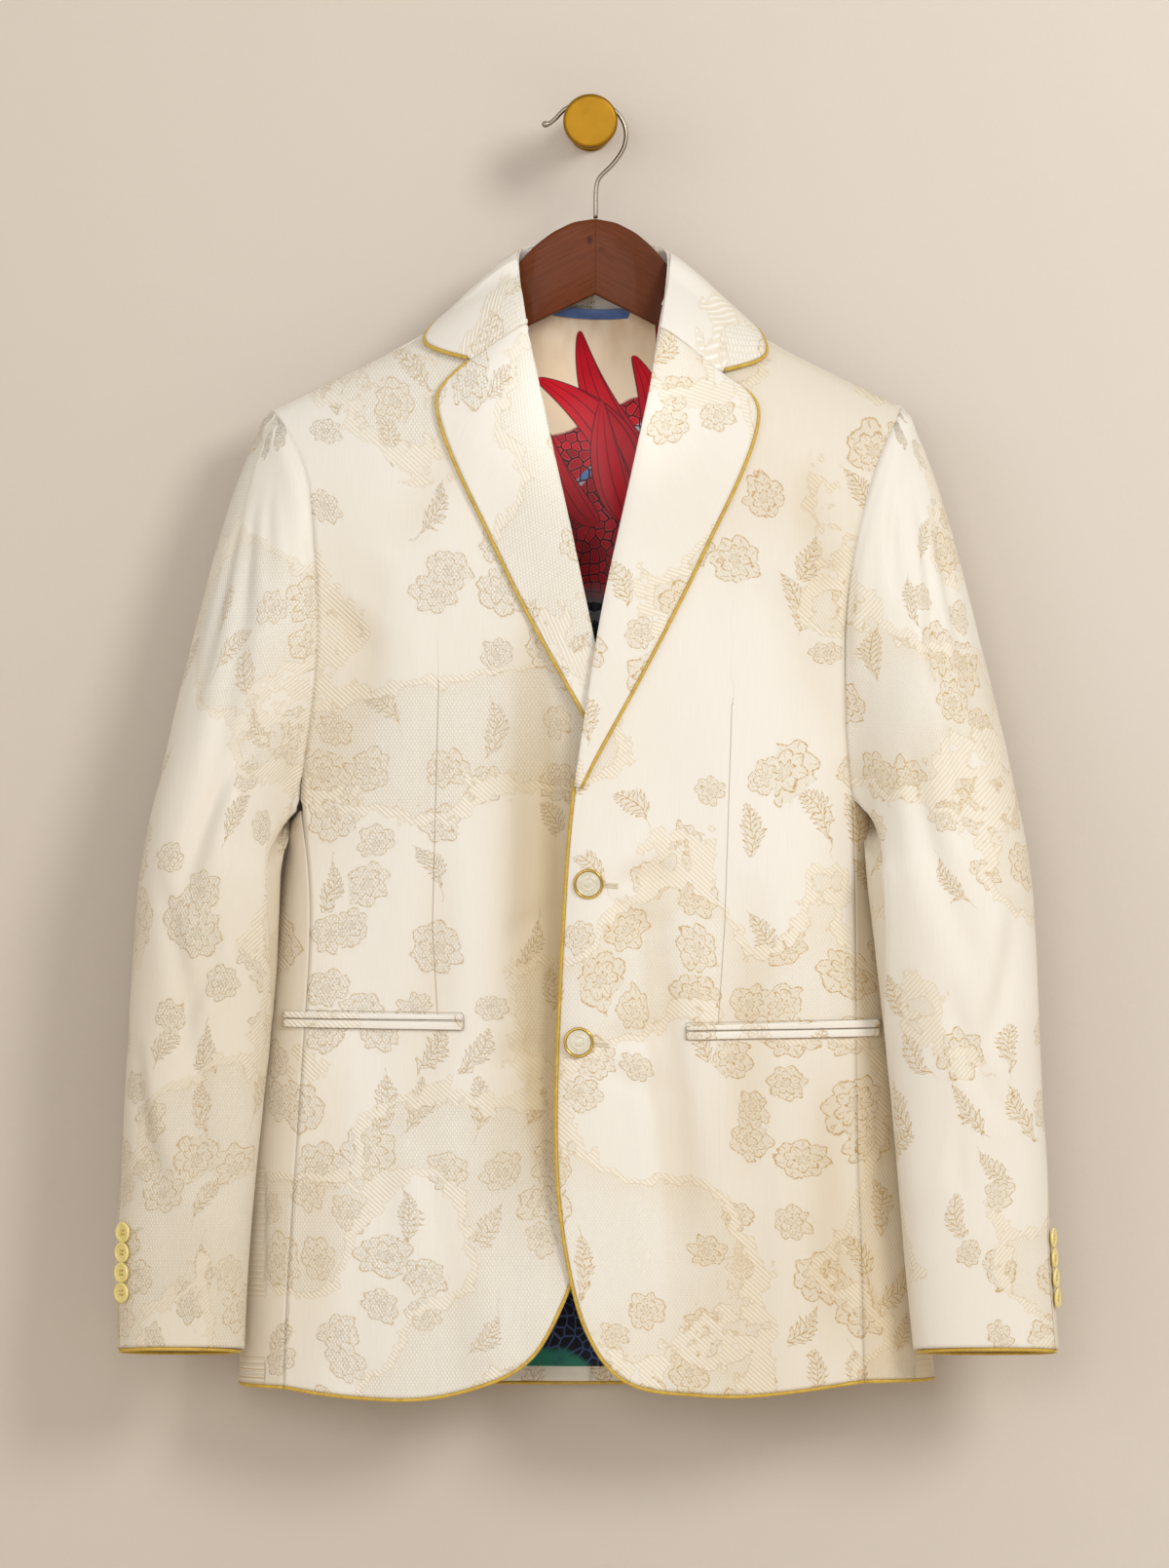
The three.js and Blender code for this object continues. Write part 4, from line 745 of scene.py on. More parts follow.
# Creases of the fronts, in mm: x0, z0, x1, z1, bow, width, depth
FRONT_CREASES = (
    (-44, -330, -36, -760, 4, 19, -4.4), (-46, -560, -40, -850, -5, 11, 1.8),
    (-108, -500, -122, -720, 6, 20, -1.6), (-150, -300, -176, -470, 10, 18, -1.8),
    (-172, -640, -188, -870, -6, 17, -2.0), (-130, -700, -120, -885, 5, 15, 1.7),
    (-20, -540, -62, -566, 3, 8, -1.4), (-24, -640, -72, -655, -3, 9, -1.2),
    (-96, -210, -140, -300, 8, 16, -1.3), (46, -500, 74, -800, -9, 18, -2.8),
    (28, -560, 34, -840, 6, 13, 1.7), (112, -520, 96, -760, 8, 21, -1.7),
    (158, -650, 168, -868, 5, 15, -1.9), (134, -690, 140, -880, -5, 14, 1.5),
    (10, -533, 62, -520, 4, 8, -1.5), (8, -536, 58, -560, -4, 8, -1.2),
    (4, -643, 60, -632, 4, 8, -1.3), (2, -648, 56, -676, -5, 9, -1.1),
    (150, -230, 168, -330, -8, 15, -1.6), (120, -310, 158, -440, 9, 17, -1.3),
    (-190, -330, -150, -380, 6, 11, -1.4), (178, -300, 146, -352, -6, 11, -1.3),
)
BACK_CREASES = (
    (-40, -330, -58, -860, 10, 22, -2.6), (36, -380, 30, -870, -9, 18, -2.0),
    (-132, -300, -150, -640, -10, 24, -2.2), (118, -420, 138, -860, 12, 22, -2.6),
    (-100, -620, -92, -872, 6, 15, 1.8), (74, -180, 128, -300, 10, 20, -1.6),
    (-70, -170, -120, -280, -9, 18, -1.5), (-8, -190, 22, -420, 12, 18, -1.3),
    (164, -560, 158, -840, -7, 15, -1.5),
)


def front_drape(co):
    """Moves points of the fronts towards the viewer by the crease field."""
    x, z = seen(co)
    flank = 1 - smooth_step(np.abs(x), 168, 205)
    sway = (drifts(x + z * 0.06, z * 0.24, 46, 12) - 0.5) * 5.0 * smooth_step(-z, 170, 330)
    return set_back(co, -(crease_field(x, z, FRONT_CREASES) * 1.35 + sway) * flank)


# Line beside the lap of the fronts in mm: height, x of the sink and x of the painted shade
LAP = ((-850, -62, -46), (-700, -46, -32), (-500, -38, -22), (-330, -24, -14))


def behind_lap(co):
    """The under front sinks back beside the lap, so the upper front stands proud of it."""
    x, z = seen(co)
    heights, sink, _ = zip(*LAP)
    line = np.interp(z, heights, sink)
    depth = 10.0 * np.exp(-(((x - line) / 24) ** 2)) + 5.0 * smooth_step(x, line, line + 30)
    depth *= smooth_step(-z, 330, 470) * (1 - smooth_step(-z, 740, 835))
    return set_back(co, depth)


def drawn_to(mesh, ends, amount):
    """Moves the cut edge along a line (x, z in mm at both ends) out, to meet its neighbour."""
    co, rim = points_of(mesh), rim_normals(mesh)
    (x0, z0), (x1, z1) = ends
    dx, dz = x1 - x0, z1 - z0
    length = math.hypot(dx, dz)
    x, z = co[:, 0] / MM - x0, co[:, 2] / MM - z0
    t = (x * dx + z * dz) / length**2
    off = np.abs(z * dx - x * dz) / length
    near = (off < 2.4) & (t > -0.06) & (t < 1.06)
    push = amount[0] + (amount[1] - amount[0]) * np.clip(t, 0, 1)
    set_points(mesh, co + rim * (near * push * MM)[:, None])


def painted_shade_of_front(co, hand):
    """Share of painted warm shade: in the troughs, in the shadow that the lap casts on the under
    front, under the arms and on the lower and upper left front.
    """
    x, z = seen(co)
    painted_shade = np.clip(-crease_field(x, z, FRONT_CREASES) / 10, 0, 0.18)
    arm = np.interp(z, (-700, -470, -330, -220), (200, 186, 166, 166))
    painted_shade += 0.16 * smooth_step(np.abs(x), arm - 34, arm + 12) * smooth_step(-z, 210, 400)
    if hand == "right":
        heights, _, painted_shade_x = zip(*LAP)
        line = np.interp(z, heights, painted_shade_x)
        beside = smooth_step(x, line - 66, line + 10)
        painted_shade += 0.56 * beside * smooth_step(-z, 300, 520) * (1 - smooth_step(-z, 640, 850))
    else:
        painted_shade += 0.22 * smooth_step(x, 30, 110) * smooth_step(-z, 560, 700)
        painted_shade += 0.24 * smooth_step(x, 50, 110) * smooth_step(z, -360, -240)
    return painted_shade


def under_sleeve_head(mesh):
    """Carries the armhole edge of a body piece on under the head of the sleeve."""
    co, rim = points_of(mesh), rim_normals(mesh)
    at_arm = (np.abs(co[:, 0]) > 0.15) & (co[:, 2] > UNDERARM_Z) & (co[:, 2] < SHOULDER_Z)
    at_arm &= (rim[:, 0] * np.sign(co[:, 0]) > 0.2) | (rim[:, 2] > 0.5)
    set_points(mesh, co + rim * (at_arm * 2.2 * MM)[:, None])


def back_drape(co):
    """Moves points of the back away from the viewer by its crease field."""
    x, z = seen(co)
    flank = 1 - smooth_step(np.abs(x), 165, 196)
    low = 1 - smooth_step(-z, 862, 884)
    sway = (drifts(x - z * 0.05, z * 0.22, 52, 33) - 0.5) * 5.0 * smooth_step(-z, 170, 300)
    return set_back(co, (crease_field(x, z, BACK_CREASES) * 1.3 + sway) * flank * low)


def body_run(co, part_name, side):
    """Distance round the body from the centre front, and height: the cut of the cloth."""
    turns = np.linspace(0, np.pi / 2, 200)
    ex = np.cos(turns) ** (2 / BODY_POWER)
    ey = BODY_DEEP * np.sin(turns) ** (2 / BODY_POWER)
    run = np.concatenate([[0], np.cumsum(np.hypot(np.diff(ex) * BODY_HALF, np.diff(ey)))])
    x = co[:, 0] / MM * side
    from_side = np.interp(np.clip(np.abs(x) / BODY_HALF, 0, 1), ex[::-1], run[::-1])
    if part_name == "side":
        before = co[:, 1] / MM < MID_Y
    else:
        before = np.full(len(x), part_name == "front")
    reach = np.where(before, run[-1] - from_side, run[-1] + from_side)
    reach = np.where(x < 0, np.where(before, -reach, 4 * run[-1] - reach), reach)
    return np.stack([side * reach * MM, co[:, 2], np.zeros_like(x)], axis=1)


def flat_run(co, lean=0.0, shift=0.0):
    """The cut of a piece that lies flat to the front, leaned and shifted on the cloth."""
    c, s = math.cos(lean), math.sin(lean)
    x, z = co[:, 0], co[:, 2]
    return np.stack([x * c + z * s + shift, z * c - x * s, np.zeros_like(x)], axis=1)


SIDES = {"right": -1, "left": 1}
# Middle line of each sleeve in mm: heights, x and y
SLEEVE_HEIGHTS = (-851, -662, -526, -400, -300, -200)
SLEEVE_LINES = {
    "right": ((-284, -274, -265, -244, -226, -214), (-99, -94, -90, -80, -74, -70)),
    "left": ((274, 260, 249, 230, 216, 208), (-104, -104, -98, -86, -78, -72)),
}
# Sleeve cloth in mm for each radian about its middle line
SLEEVE_ROUND = 46


def sleeve_place(co, hand):
    """Bearing about the sleeve's middle line, 0 at the outer edge and positive in front,
    distance from it, and its two parts."""
    z = co[:, 2] / MM
    cx, cy = (np.interp(z, SLEEVE_HEIGHTS, line) for line in SLEEVE_LINES[hand])
    dx, dy = (co[:, 0] / MM - cx) * SIDES[hand], -(co[:, 1] / MM - cy)
    return np.arctan2(dy, dx), np.hypot(dx, dy), dx, dy


# Sleeve creases: bearing and height at each end, bow, width and depth; widths in mm of cloth
SLEEVE_CREASES = {
    "right": (
        (0.9, -262, 1.7, -420, 5, 9, -2.0), (1.5, -236, 1.9, -330, -4, 6, -1.6),
        (0.4, -250, 0.7, -420, 5, 9, -1.5), (1.2, -300, 1.3, -560, 6, 11, -2.0),
        (2.0, -420, 1.1, -560, -8, 10, -2.6), (0.7, -520, 1.5, -690, 8, 11, -2.2),
        (1.9, -560, 1.0, -640, 6, 8, -1.9), (0.5, -640, 1.1, -745, -6, 9, -1.7),
        (1.6, -640, 1.9, -748, 4, 8, -1.6), (-1.0, -300, -1.4, -520, 6, 12, -2.0),
        (-0.6, -480, -1.5, -620, -8, 11, -2.3), (-1.9, -560, -1.0, -740, 6, 11, -1.8),
        (-2.4, -400, -2.0, -640, 5, 10, -1.8),
    ),
    "left": (
        (0.8, -258, 1.6, -430, -5, 9, -1.9), (1.6, -240, 1.8, -340, 4, 6, -1.5),
        (0.3, -262, 0.6, -440, 6, 9, -1.6), (1.3, -340, 1.1, -560, -6, 11, -1.9),
        (2.0, -430, 1.2, -600, 8, 11, -2.4), (0.6, -540, 1.4, -660, -7, 10, -2.0),
        (1.8, -600, 0.9, -700, 6, 9, -2.0), (1.7, -690, 1.9, -752, 4, 7, -1.3),
        (-0.8, -320, -1.3, -540, -7, 12, -2.0), (-1.7, -470, -0.7, -610, 8, 11, -2.2),
        (-1.2, -620, -1.8, -745, -5, 10, -1.9), (-2.5, -380, -2.1, -620, 6, 10, -1.7),
    ),
}


def sleeve_drape(co, hand):
    """Moves points of a sleeve in or out from its middle line by its crease field."""
    bearing, reach, dx, dy = sleeve_place(co, hand)
    u, z = bearing * SLEEVE_ROUND, co[:, 2] / MM
    rows = np.array(SLEEVE_CREASES[hand]) * (SLEEVE_ROUND, 1, SLEEVE_ROUND, 1, 1, 1, 1)
    sway = drifts(u + z * 0.1, z * 0.3, 38, 55 if hand == "right" else 66) - 0.5
    depth = crease_field(u, z, rows) * 1.5 + sway * 4.5
    depth *= smooth_step(-z, 232, 300) * (1 - smooth_step(-z, 738, 768))
    scale = depth / np.maximum(reach, 8)
    out = co.copy()
    out[:, 0] += dx * scale * SIDES[hand] * MM
    out[:, 1] -= dy * scale * MM
    return out


def set_in(mesh):
    """Draws the sleeve head up to its seam, with a soft roll of cloth just past it."""
    co = points_of(mesh)
    rim = rim_normals(mesh)
    at_arm = (np.linalg.norm(rim, axis=1) > 0.5) & (co[:, 2] > UNDERARM_Z) & (rim[:, 2] > -0.6)
    seam = KDTree(int(at_arm.sum()))
    for k, p in enumerate(co[at_arm]):
        seam.insert(p, k)
    seam.balance()
    away = np.array([seam.find(p)[2] for p in co]) / MM
    pull = np.where(at_arm, 0.0018, 0.00022)[:, None] * rim
    roll = np.exp(-(((away - 9) / 7) ** 2)) * smooth_step(away, 1.5, 6) * 0.0016
    lower = smooth_step(co[:, 2], -0.42, -0.34)
    return co + pull + normals_of(mesh) * (roll * lower)[:, None]


def sleeve_run(co, hand, middle):
    """The cut of a sleeve piece: cloth about its middle bearing, and height."""
    bearing = sleeve_place(co, hand)[0]
    turn = (bearing - middle + np.pi) % (2 * np.pi) - np.pi
    across = (turn * SLEEVE_ROUND * SIDES[hand] + SLEEVE_SHIFT * SIDES[hand]) * MM
    return np.stack([across, co[:, 2], np.zeros_like(turn)], axis=1)


def declare_cut(piece):
    run = np.empty(len(piece.data.vertices) * 3, np.float32)
    piece.data.attributes["cloth"].data.foreach_get("vector", run)
    run = run.reshape(-1, 3)
    wide, long = (float(np.ptp(run[:, k])) for k in (0, 1))
    area = sum(face.area for face in piece.data.polygons) / 2
    area = float(min(max(area, SMALLEST_SHARE * wide * long), wide * long))


SHEETS = []


def sewn_piece(name, mesh, cloth, nodes, held):
    """A finished piece of cloth, listed in SHEETS with how it is held."""
    SHEETS.append((finished(name, mesh, cloth, nodes), held))


# Gorge seams in mm: the line of each cut edge and how far it is drawn out at its ends
GORGES = {
    "right": {
        "lapel": (((-44.8, -144.8), (-82.6, -170.0)), (0.8, 1.3)),
        "collar": (((-44.8, -142.0), (-81.6, -165.8)), (0.8, 1.3)),
    },
    "left": {
        "lapel": (((50.0, -147.6), (90.0, -178.8)), (0.8, 1.9)),
        "collar": (((49.4, -144.8), (89.2, -174.2)), (0.8, 1.9)),
    },
}
# Lean and shift in metres of each lapel on the cloth
LAPEL_LAID = {"right": (-0.42, 0.35), "left": (0.42, -0.9)}
WELT_SHIFT = 1.7
# Share of painted shade on each side panel, where it lies in the gap between sleeve and body
SIDE_PAINTED_SHADE = {"right": 0.28, "left": 0.45}
# Bearing of the middle of each sleeve piece
TOP_MIDDLE, UNDER_MIDDLE = 0.75, -2.2

for hand in ("right", "left"):
    cloth = CLOTH_DRAWN_LESS_GLINT if hand == "left" else CLOTH_RAISED_MORE_GLINT
    for part_name in ("front", "side", "back"):
        node = f"{part_name}_{hand}"
        mesh = smoothed(node, 3, reach=BODY_REACH)
        under_sleeve_head(mesh)
        co = points_of(mesh)
        run = body_run(co, part_name, SIDES[hand])
        if part_name == "front":
            woven(mesh, run, hand, painted_shade_of_front(co, hand))
            set_points(mesh, front_drape(co))
        else:
            # Side panels carry a flat share of painted shade, the back none
            side_painted_shade = SIDE_PAINTED_SHADE[hand] if part_name == "side" else 0.0
            woven(mesh, run, painted_shade=np.full(len(run), side_painted_shade))
        if part_name == "back":
            set_points(mesh, back_drape(co))
        if node == "front_right":
            set_points(mesh, behind_lap(points_of(mesh)))
        sewn_piece(f"cloth_{node}", mesh, cloth, [node], "hung")
    for part_name, middle in (("top_sleeve", TOP_MIDDLE), ("under_sleeve", UNDER_MIDDLE)):
        node = f"{part_name}_{hand}"
        mesh = smoothed(node, 3)
        set_points(mesh, set_in(mesh))
        co = points_of(mesh)
        painted_shade = painted_shade_of_sleeve(co, hand, part_name == "under_sleeve")
        woven(mesh, sleeve_run(co, hand, middle), painted_shade=painted_shade)
        set_points(mesh, sleeve_drape(co, hand))
        sewn_piece(f"cloth_{node}", mesh, cloth, [node], "hung")
    node = f"lapel_{hand}"
    mesh = smoothed(node, 3, reach=COLLAR_REACH)
    drawn_to(mesh, *GORGES[hand]["lapel"])
    co = points_of(mesh)
    woven(mesh, flat_run(co, *LAPEL_LAID[hand]))
    set_points(mesh, front_drape(co))
    sewn_piece(f"cloth_{node}", mesh, cloth, [node], "folded")
    nodes = [f"pocket_{hand}_upper_welt", f"pocket_{hand}_lower_welt"]
    mesh = joined([smoothed(node, 2) for node in nodes])
    co = points_of(mesh)
    woven(mesh, flat_run(co, shift=WELT_SHIFT), hand, slit=True)
    set_points(mesh, front_drape(co))
    sewn_piece(f"cloth_welts_{hand}", mesh, cloth, nodes, "folded")

# Neck axis of the collar, its cloth round it in metres, and its place on the cloth
NECK_Y = -0.062
NECK_ROUND = 0.075
COLLAR_SHIFT, COLLAR_DROP = 2.4, 0.2

for node, levels in (("collar_fall", 3), ("collar_stand", 2)):
    mesh = smoothed(node, levels, reach=COLLAR_REACH)
    if node == "collar_fall":
        for hand in ("right", "left"):
            drawn_to(mesh, *GORGES[hand]["collar"])
    co = points_of(mesh)
    if node == "collar_stand":
        beside = smooth_step(np.abs(co[:, 0]), 0.034, 0.044) * smooth_step(co[:, 2], -0.132, -0.122)
        co[:, 0] += np.where(co[:, 0] < 0, -0.0030, 0.0046) * beside
        set_points(mesh, co)
    around = np.arctan2(co[:, 0], NECK_Y - co[:, 1]) * NECK_ROUND + COLLAR_SHIFT
    drop = -np.hypot(co[:, 0], co[:, 1] - NECK_Y) - COLLAR_DROP
    woven(mesh, np.stack([around, drop, np.zeros_like(drop)], axis=1))
    sewn_piece(f"cloth_{node}", mesh, CLOTH_RAISED_MORE_GLINT, [node], "folded")

mesh = smoothed("lining_back", 3)
co = points_of(mesh)
store(mesh, "cloth", flat_run(co))
x, z = seen(co)
loose = 1 - smooth_step(-z, 800, 860)
co[:, 1] -= np.maximum(crease_field(x, z, BACK_CREASES), 0) * MM * 0.4 * loose
set_points(mesh, back_drape(co))
sewn_piece("lining_of_back", mesh, LINING, ["lining_back"], "hung")

# Hanging loop in metres: its top edge, how far it is raised and how much narrower it is worn
LOOP_TOP, LOOP_RAISED, LOOP_WORN = -0.1258, 0.0026, 0.80
LOOP_HALF = 0.03

mesh = smoothed("hanging_loop", 3)
co = points_of(mesh)
co[:, 2] = LOOP_TOP + LOOP_RAISED + (co[:, 2] - LOOP_TOP) * LOOP_WORN
roll = np.sin(np.pi * np.clip((co[:, 2] - co[:, 2].min()) / np.ptp(co[:, 2]), 0, 1))
co[:, 1] -= 0.0012 * roll * (1 - (co[:, 0] / LOOP_HALF) ** 2)
set_points(mesh, co)
store(mesh, "cloth", flat_run(points_of(mesh)))
sewn_piece("loop_ribbon", mesh, RIBBON, ["hanging_loop"], "stretched")

for piece, held in SHEETS:
    declare_cut(piece)

for node in [n for n in NODES if n.startswith("piping_")]:
    mesh = smoothed(node, 2, sharp=70, grow=0.0002)
    if node.startswith(("piping_lapel", "piping_front")):
        set_points(mesh, front_drape(points_of(mesh)))
    finished(node.replace("piping", "cord"), mesh, PIPING, [node])

# Hanger arms in mm: x, top, bottom and half thickness; the underside is cut straight to its apex
WOOD_TOP = (
    (-206, -200.2), (-196, -192.4), (-160, -174.6), (-112, -151.2), (-80, -127.5), (-60, -111),
    (-53, -102.6), (-47, -94.2), (-38, -85.2), (-26, -76.2), (-12, -69.4), (3.4, -67.1),
    (18, -69.8), (32, -77), (44, -87.4), (51, -96), (57, -104), (66, -115), (84, -129.6),
    (112, -151.2), (160, -174.6), (190, -189.2), (200, -197.2),
)
WOOD_UNDER = (
    (-206, -212), (-196, -217), (-160, -208), (-112, -187), (-80, -166), (-44, -142),
    (3.4, -119.4), (49, -143), (84, -168), (112, -187), (160, -208), (190, -215), (200, -210),
)
WOOD_HALF = (
    (-206, 8), (-196, 11), (-112, 11), (-80, 9), (-58, 5.8), (-50, 5.8), (-38, 7), (32, 7),
    (44, 6.2), (66, 5.8), (84, 9), (112, 11), (190, 11), (200, 8),
)
WOOD_ROUND = 2.6
WOOD_APEX = 3.4


def hanger_arms():
    """Shaped board with softened arrises, between the lines of its top and its underside."""
    ends = (WOOD_TOP[0][0], WOOD_TOP[-1][0])
    stations = np.unique(np.concatenate([np.linspace(*ends, 180), [WOOD_APEX]]))

    def along(rows, shift=0.0):
        return np.interp(stations + shift, *np.array(rows, float).T)

    top = np.mean([along(WOOD_TOP, shift) for shift in np.linspace(-3, 3, 7)], axis=0)
    corner = [(1 - math.cos(a), 1 - math.sin(a)) for a in np.linspace(0, math.pi / 2, 6)]
    verts = []
    for x, z1, z0, h in zip(stations, top, along(WOOD_UNDER), along(WOOD_HALF)):
        r = min(WOOD_ROUND, (z1 - z0) * 0.45, h * 0.9)
        upper = [(h - r * a, z1 - r * b) for a, b in corner]
        lower = [(h - r * a * 0.5, z0 + r * b * 0.5) for a, b in corner]
        ring = [(-y, z) for y, z in upper] + upper[::-1] + lower + [(-y, z) for y, z in lower[::-1]]
        verts += [(x * MM, (MID_Y + y) * MM, z * MM) for y, z in ring]
    mesh = mesh_of("arms", verts, tube_faces(0, len(stations), 4 * len(corner)))
    with reworked(mesh) as work:
        bmesh.ops.recalc_face_normals(work, faces=work.faces[:])
    return mesh


finished("wood_arms", hanger_arms(), WOOD, ["hanger_wood"])
hook = smoothed("hanger_hook", 2, sharp=80, grow=0.00012)
finished("hook_wire", hook, NICKEL, ["hanger_hook"])


def turned(profile, sides):
    """Closed mesh through rings of (radius, out) about the Z axis, in mm."""
    verts = []
    for radius, out in profile:
        for k in range(sides):
            a = 2 * math.pi * k / sides
            verts.append((radius * math.cos(a) * MM, radius * math.sin(a) * MM, out * MM))
    return mesh_of("turned", verts, tube_faces(0, len(profile), sides))


def seat_of(node, toward):
    """Centre, outward direction and depth of the underside of a button, from its CAD vertices."""
    co = points_of(NODES[node].data)
    centre = co.mean(0)
    axes = np.linalg.svd(co - centre, full_matrices=False)[2]
    axis = axes[2] if np.dot(axes[2], toward) > 0 else -axes[2]
    return centre, axis, ((co - centre) @ axis).min()


def stood(mesh, centre, axis):
    turn = Vector(axis).to_track_quat("Z", "Y").to_matrix().to_4x4()
    mesh.transform(Matrix.Translation(Vector(centre)) @ turn)
    return mesh


# Front button in mm, (radius, out): its rim and its ringed face
RIM = (
    (9.2, 1.9), (10.1, 2.2), (10.45, 2.7), (10.5, 3.2), (10.5, 3.8), (10.35, 4.3), (10.0, 4.7),
    (9.6, 4.86), (9.2, 4.8), (8.9, 4.5), (8.75, 4.1), (8.7, 3.7), (8.4, 3.3), (8.3, 2.6),
)
FACE = (
    (2.6, 0.6), (2.6, 1.8), (8.6, 1.9), (8.68, 3.0), (8.5, 3.75), (8.1, 3.95), (7.7, 3.98),
    (7.45, 3.75), (7.2, 3.72), (6.95, 3.98), (6.3, 4.1), (6.05, 3.9), (5.8, 3.9), (5.55, 4.1),
    (3.6, 4.2), (3.35, 4.0), (3.1, 4.0), (2.85, 4.2), (1.5, 4.3), (0.4, 4.35),
)
SUNK = 0.6

for node in ("button_front_upper", "button_front_lower"):
    centre, axis, base = seat_of(node, (0, -1, 0))
    foot = centre + axis * (base - SUNK * MM)
    rim = stood(turned(RIM, 64), foot, axis)
    finished(node.replace("button", "rim"), rim, GILT, [])
    face = stood(turned(FACE, 64), foot, axis)
    finished(node.replace("button", "face"), face, PEARL, [node])

# Cuff button in mm, (radius, out): its disc and the drill of its four holes
BUTTON = (
    (5.2, 0.5), (5.9, 0.75), (6.4, 1.1), (6.65, 1.5), (6.7, 1.9), (6.6, 2.3), (6.3, 2.65),
    (5.85, 2.88), (5.35, 2.9), (4.95, 2.75), (4.65, 2.5), (4.3, 2.3), (3.5, 2.18), (2.0, 2.1),
    (0.4, 2.08),
)
DRILL = ((0.62, -1), (0.62, 0.4), (0.62, 1.9), (0.85, 2.2), (0.95, 4))
HOLE_OFF = 1.75
DISC_GROWN = 1.07


def four_hole_button():
    body = new_object("button_blank", turned(BUTTON, 48))
    drills = []
    for k in range(4):
        a = math.pi / 4 + k * math.pi / 2
        drill = new_object("drill", turned(DRILL, 16))
        off = HOLE_OFF * MM
        drill.data.transform(Matrix.Translation((off * math.cos(a), off * math.sin(a), 0)))
        hole = body.modifiers.new("hole", "BOOLEAN")
        hole.operation = "DIFFERENCE"
        hole.object = drill
        hole.solver = "EXACT"
        drills.append(drill)
    mesh = modified(body)
    for made in (*drills, body):
        bpy.data.objects.remove(made)
    return mesh


def rods(spans, radius, rise, sides=6, steps=7):
    """Rounded thread stitches between pairs of points, bowed by rise along their up vector."""
    verts, faces = [], []
    for start, end, up in spans:
        start, end, up = (np.array(p, float) for p in (start, end, up))
        along = end - start
        along /= np.linalg.norm(along)
        up = up - along * np.dot(up, along)
        up /= np.linalg.norm(up)
        side = np.cross(along, up)
        faces += tube_faces(len(verts), steps, sides)
        for t in (i / (steps - 1) for i in range(steps)):
            middle = start + (end - start) * t + up * rise * math.sin(math.pi * t)
            full = math.sin(math.pi * min(max(t, 0.04), 0.96)) ** 0.4
            thick = radius * (0.45 + 0.55 * full)
            for k in range(sides):
                a = 2 * math.pi * k / sides
                verts.append(tuple(middle + side * thick * math.cos(a) + up * thick * math.sin(a)))
    return mesh_of("stitches", verts, faces)


BLANK = four_hole_button()
BLANK.transform(Matrix.Diagonal((DISC_GROWN, DISC_GROWN, 1.0, 1.0)))
TIE_OFF = HOLE_OFF / math.sqrt(2) * MM
TIES = [((-TIE_OFF, y, 0.0021), (TIE_OFF, y, 0.0021), (0, 0, 1)) for y in (-TIE_OFF, TIE_OFF)]
for hand, side in SIDES.items():
    for n in range(1, 5):
        node = f"button_cuff_{hand}_{n}"
        centre, axis, base = seat_of(node, (side, -0.6, 0))
        foot = centre + axis * (base - 0.5 * MM)
        disc = stood(BLANK.copy(), foot, axis)
        finished(node.replace("button", "disc"), disc, BUTTER, [node])
        tie = stood(rods(TIES, 0.00042, 0.0005), foot, axis)
        finished(f"thread_cuff_{hand}_{n}", tie, YELLOW_THREAD, [])

# Wall peg in mm, (radius, out): plate, stem and disc
PEG = (
    (15.5, 0.0), (15.5, 2.4), (15.1, 3.0), (13.4, 3.3), (12.9, 3.9), (12.9, 5.0), (12.9, 69.0),
    (12.9, 70.0), (17.4, 71.0), (18.4, 71.4), (18.9, 72.2), (19.0, 73.0), (19.0, 77.4),
    (18.8, 78.3), (18.3, 79.1), (17.6, 79.7), (16.8, 79.95), (16.0, 80.0), (8.0, 80.0), (0.5, 80.0),
)
peg = stood(turned(PEG, 96), (0, 0, 0), (0, -1, 0))
finished("peg_round", peg, BRASS, ["wall_peg"])


def surface_of(name):
    mesh = bpy.data.objects[name].data
    polys = [tuple(p.vertices) for p in mesh.polygons]
    return BVHTree.FromPolygons([tuple(c) for c in points_of(mesh)], polys)


def pressed(tree, x, z, lift):
    """Point on the cloth seen from the front at x, z in mm, lifted off it."""
    hit, normal, _, _ = tree.ray_cast(Vector((x * MM, -0.4, z * MM)), Vector((0, 1, 0)))
    if hit is None:
        return None
    if normal.y > 0:
        normal = -normal
    return np.array(hit) + np.array(normal) * lift * MM, np.array(normal)


# Buttonhole stitches in mm: their spacing, and half width of each hole and radius of its thread
STITCH_PITCH = 0.62
FRONT_HOLE = (1.9, 0.34)
CUFF_HOLE = (1.0, 0.26)


def buttonhole(name, tree, start, end, half, radius):
    """Two rows of stitches each side of a slit, with a bar across its far end."""
    (x0, z0), (x1, z1) = start, end
    length = math.hypot(x1 - x0, z1 - z0)
    ax, az = (x1 - x0) / length, (z1 - z0) / length
    spans = []
    for k in range(int(length / STITCH_PITCH) + 1):
        px, pz = x0 + ax * k * STITCH_PITCH, z0 + az * k * STITCH_PITCH
        for hand in (-1, 1):
            near, far = (
                pressed(tree, px - az * off * hand, pz + ax * off * hand, lift)
                for off, lift in ((0.25, radius), (half, radius * 0.4))
            )
            if near and far:
                spans.append((near[0], far[0], near[1]))
    for k in range(3):
        px, pz = x1 + ax * (0.4 + 0.5 * k), z1 + az * (0.4 + 0.5 * k)
        a = pressed(tree, px - az * half, pz + ax * half, radius)
        b = pressed(tree, px + az * half, pz - ax * half, radius)
        if a and b:
            spans.append((a[0], b[0], a[1]))
    finished(name, rods(spans, radius * MM, 0.0002), CREAM_THREAD, [])


front_cloth = surface_of("cloth_front_left")
buttonhole("hole_front_upper", front_cloth, (8.0, -531.2), (17.6, -532.0), *FRONT_HOLE)
buttonhole("hole_front_lower", front_cloth, (1.8, -641.0), (11.4, -642.0), *FRONT_HOLE)

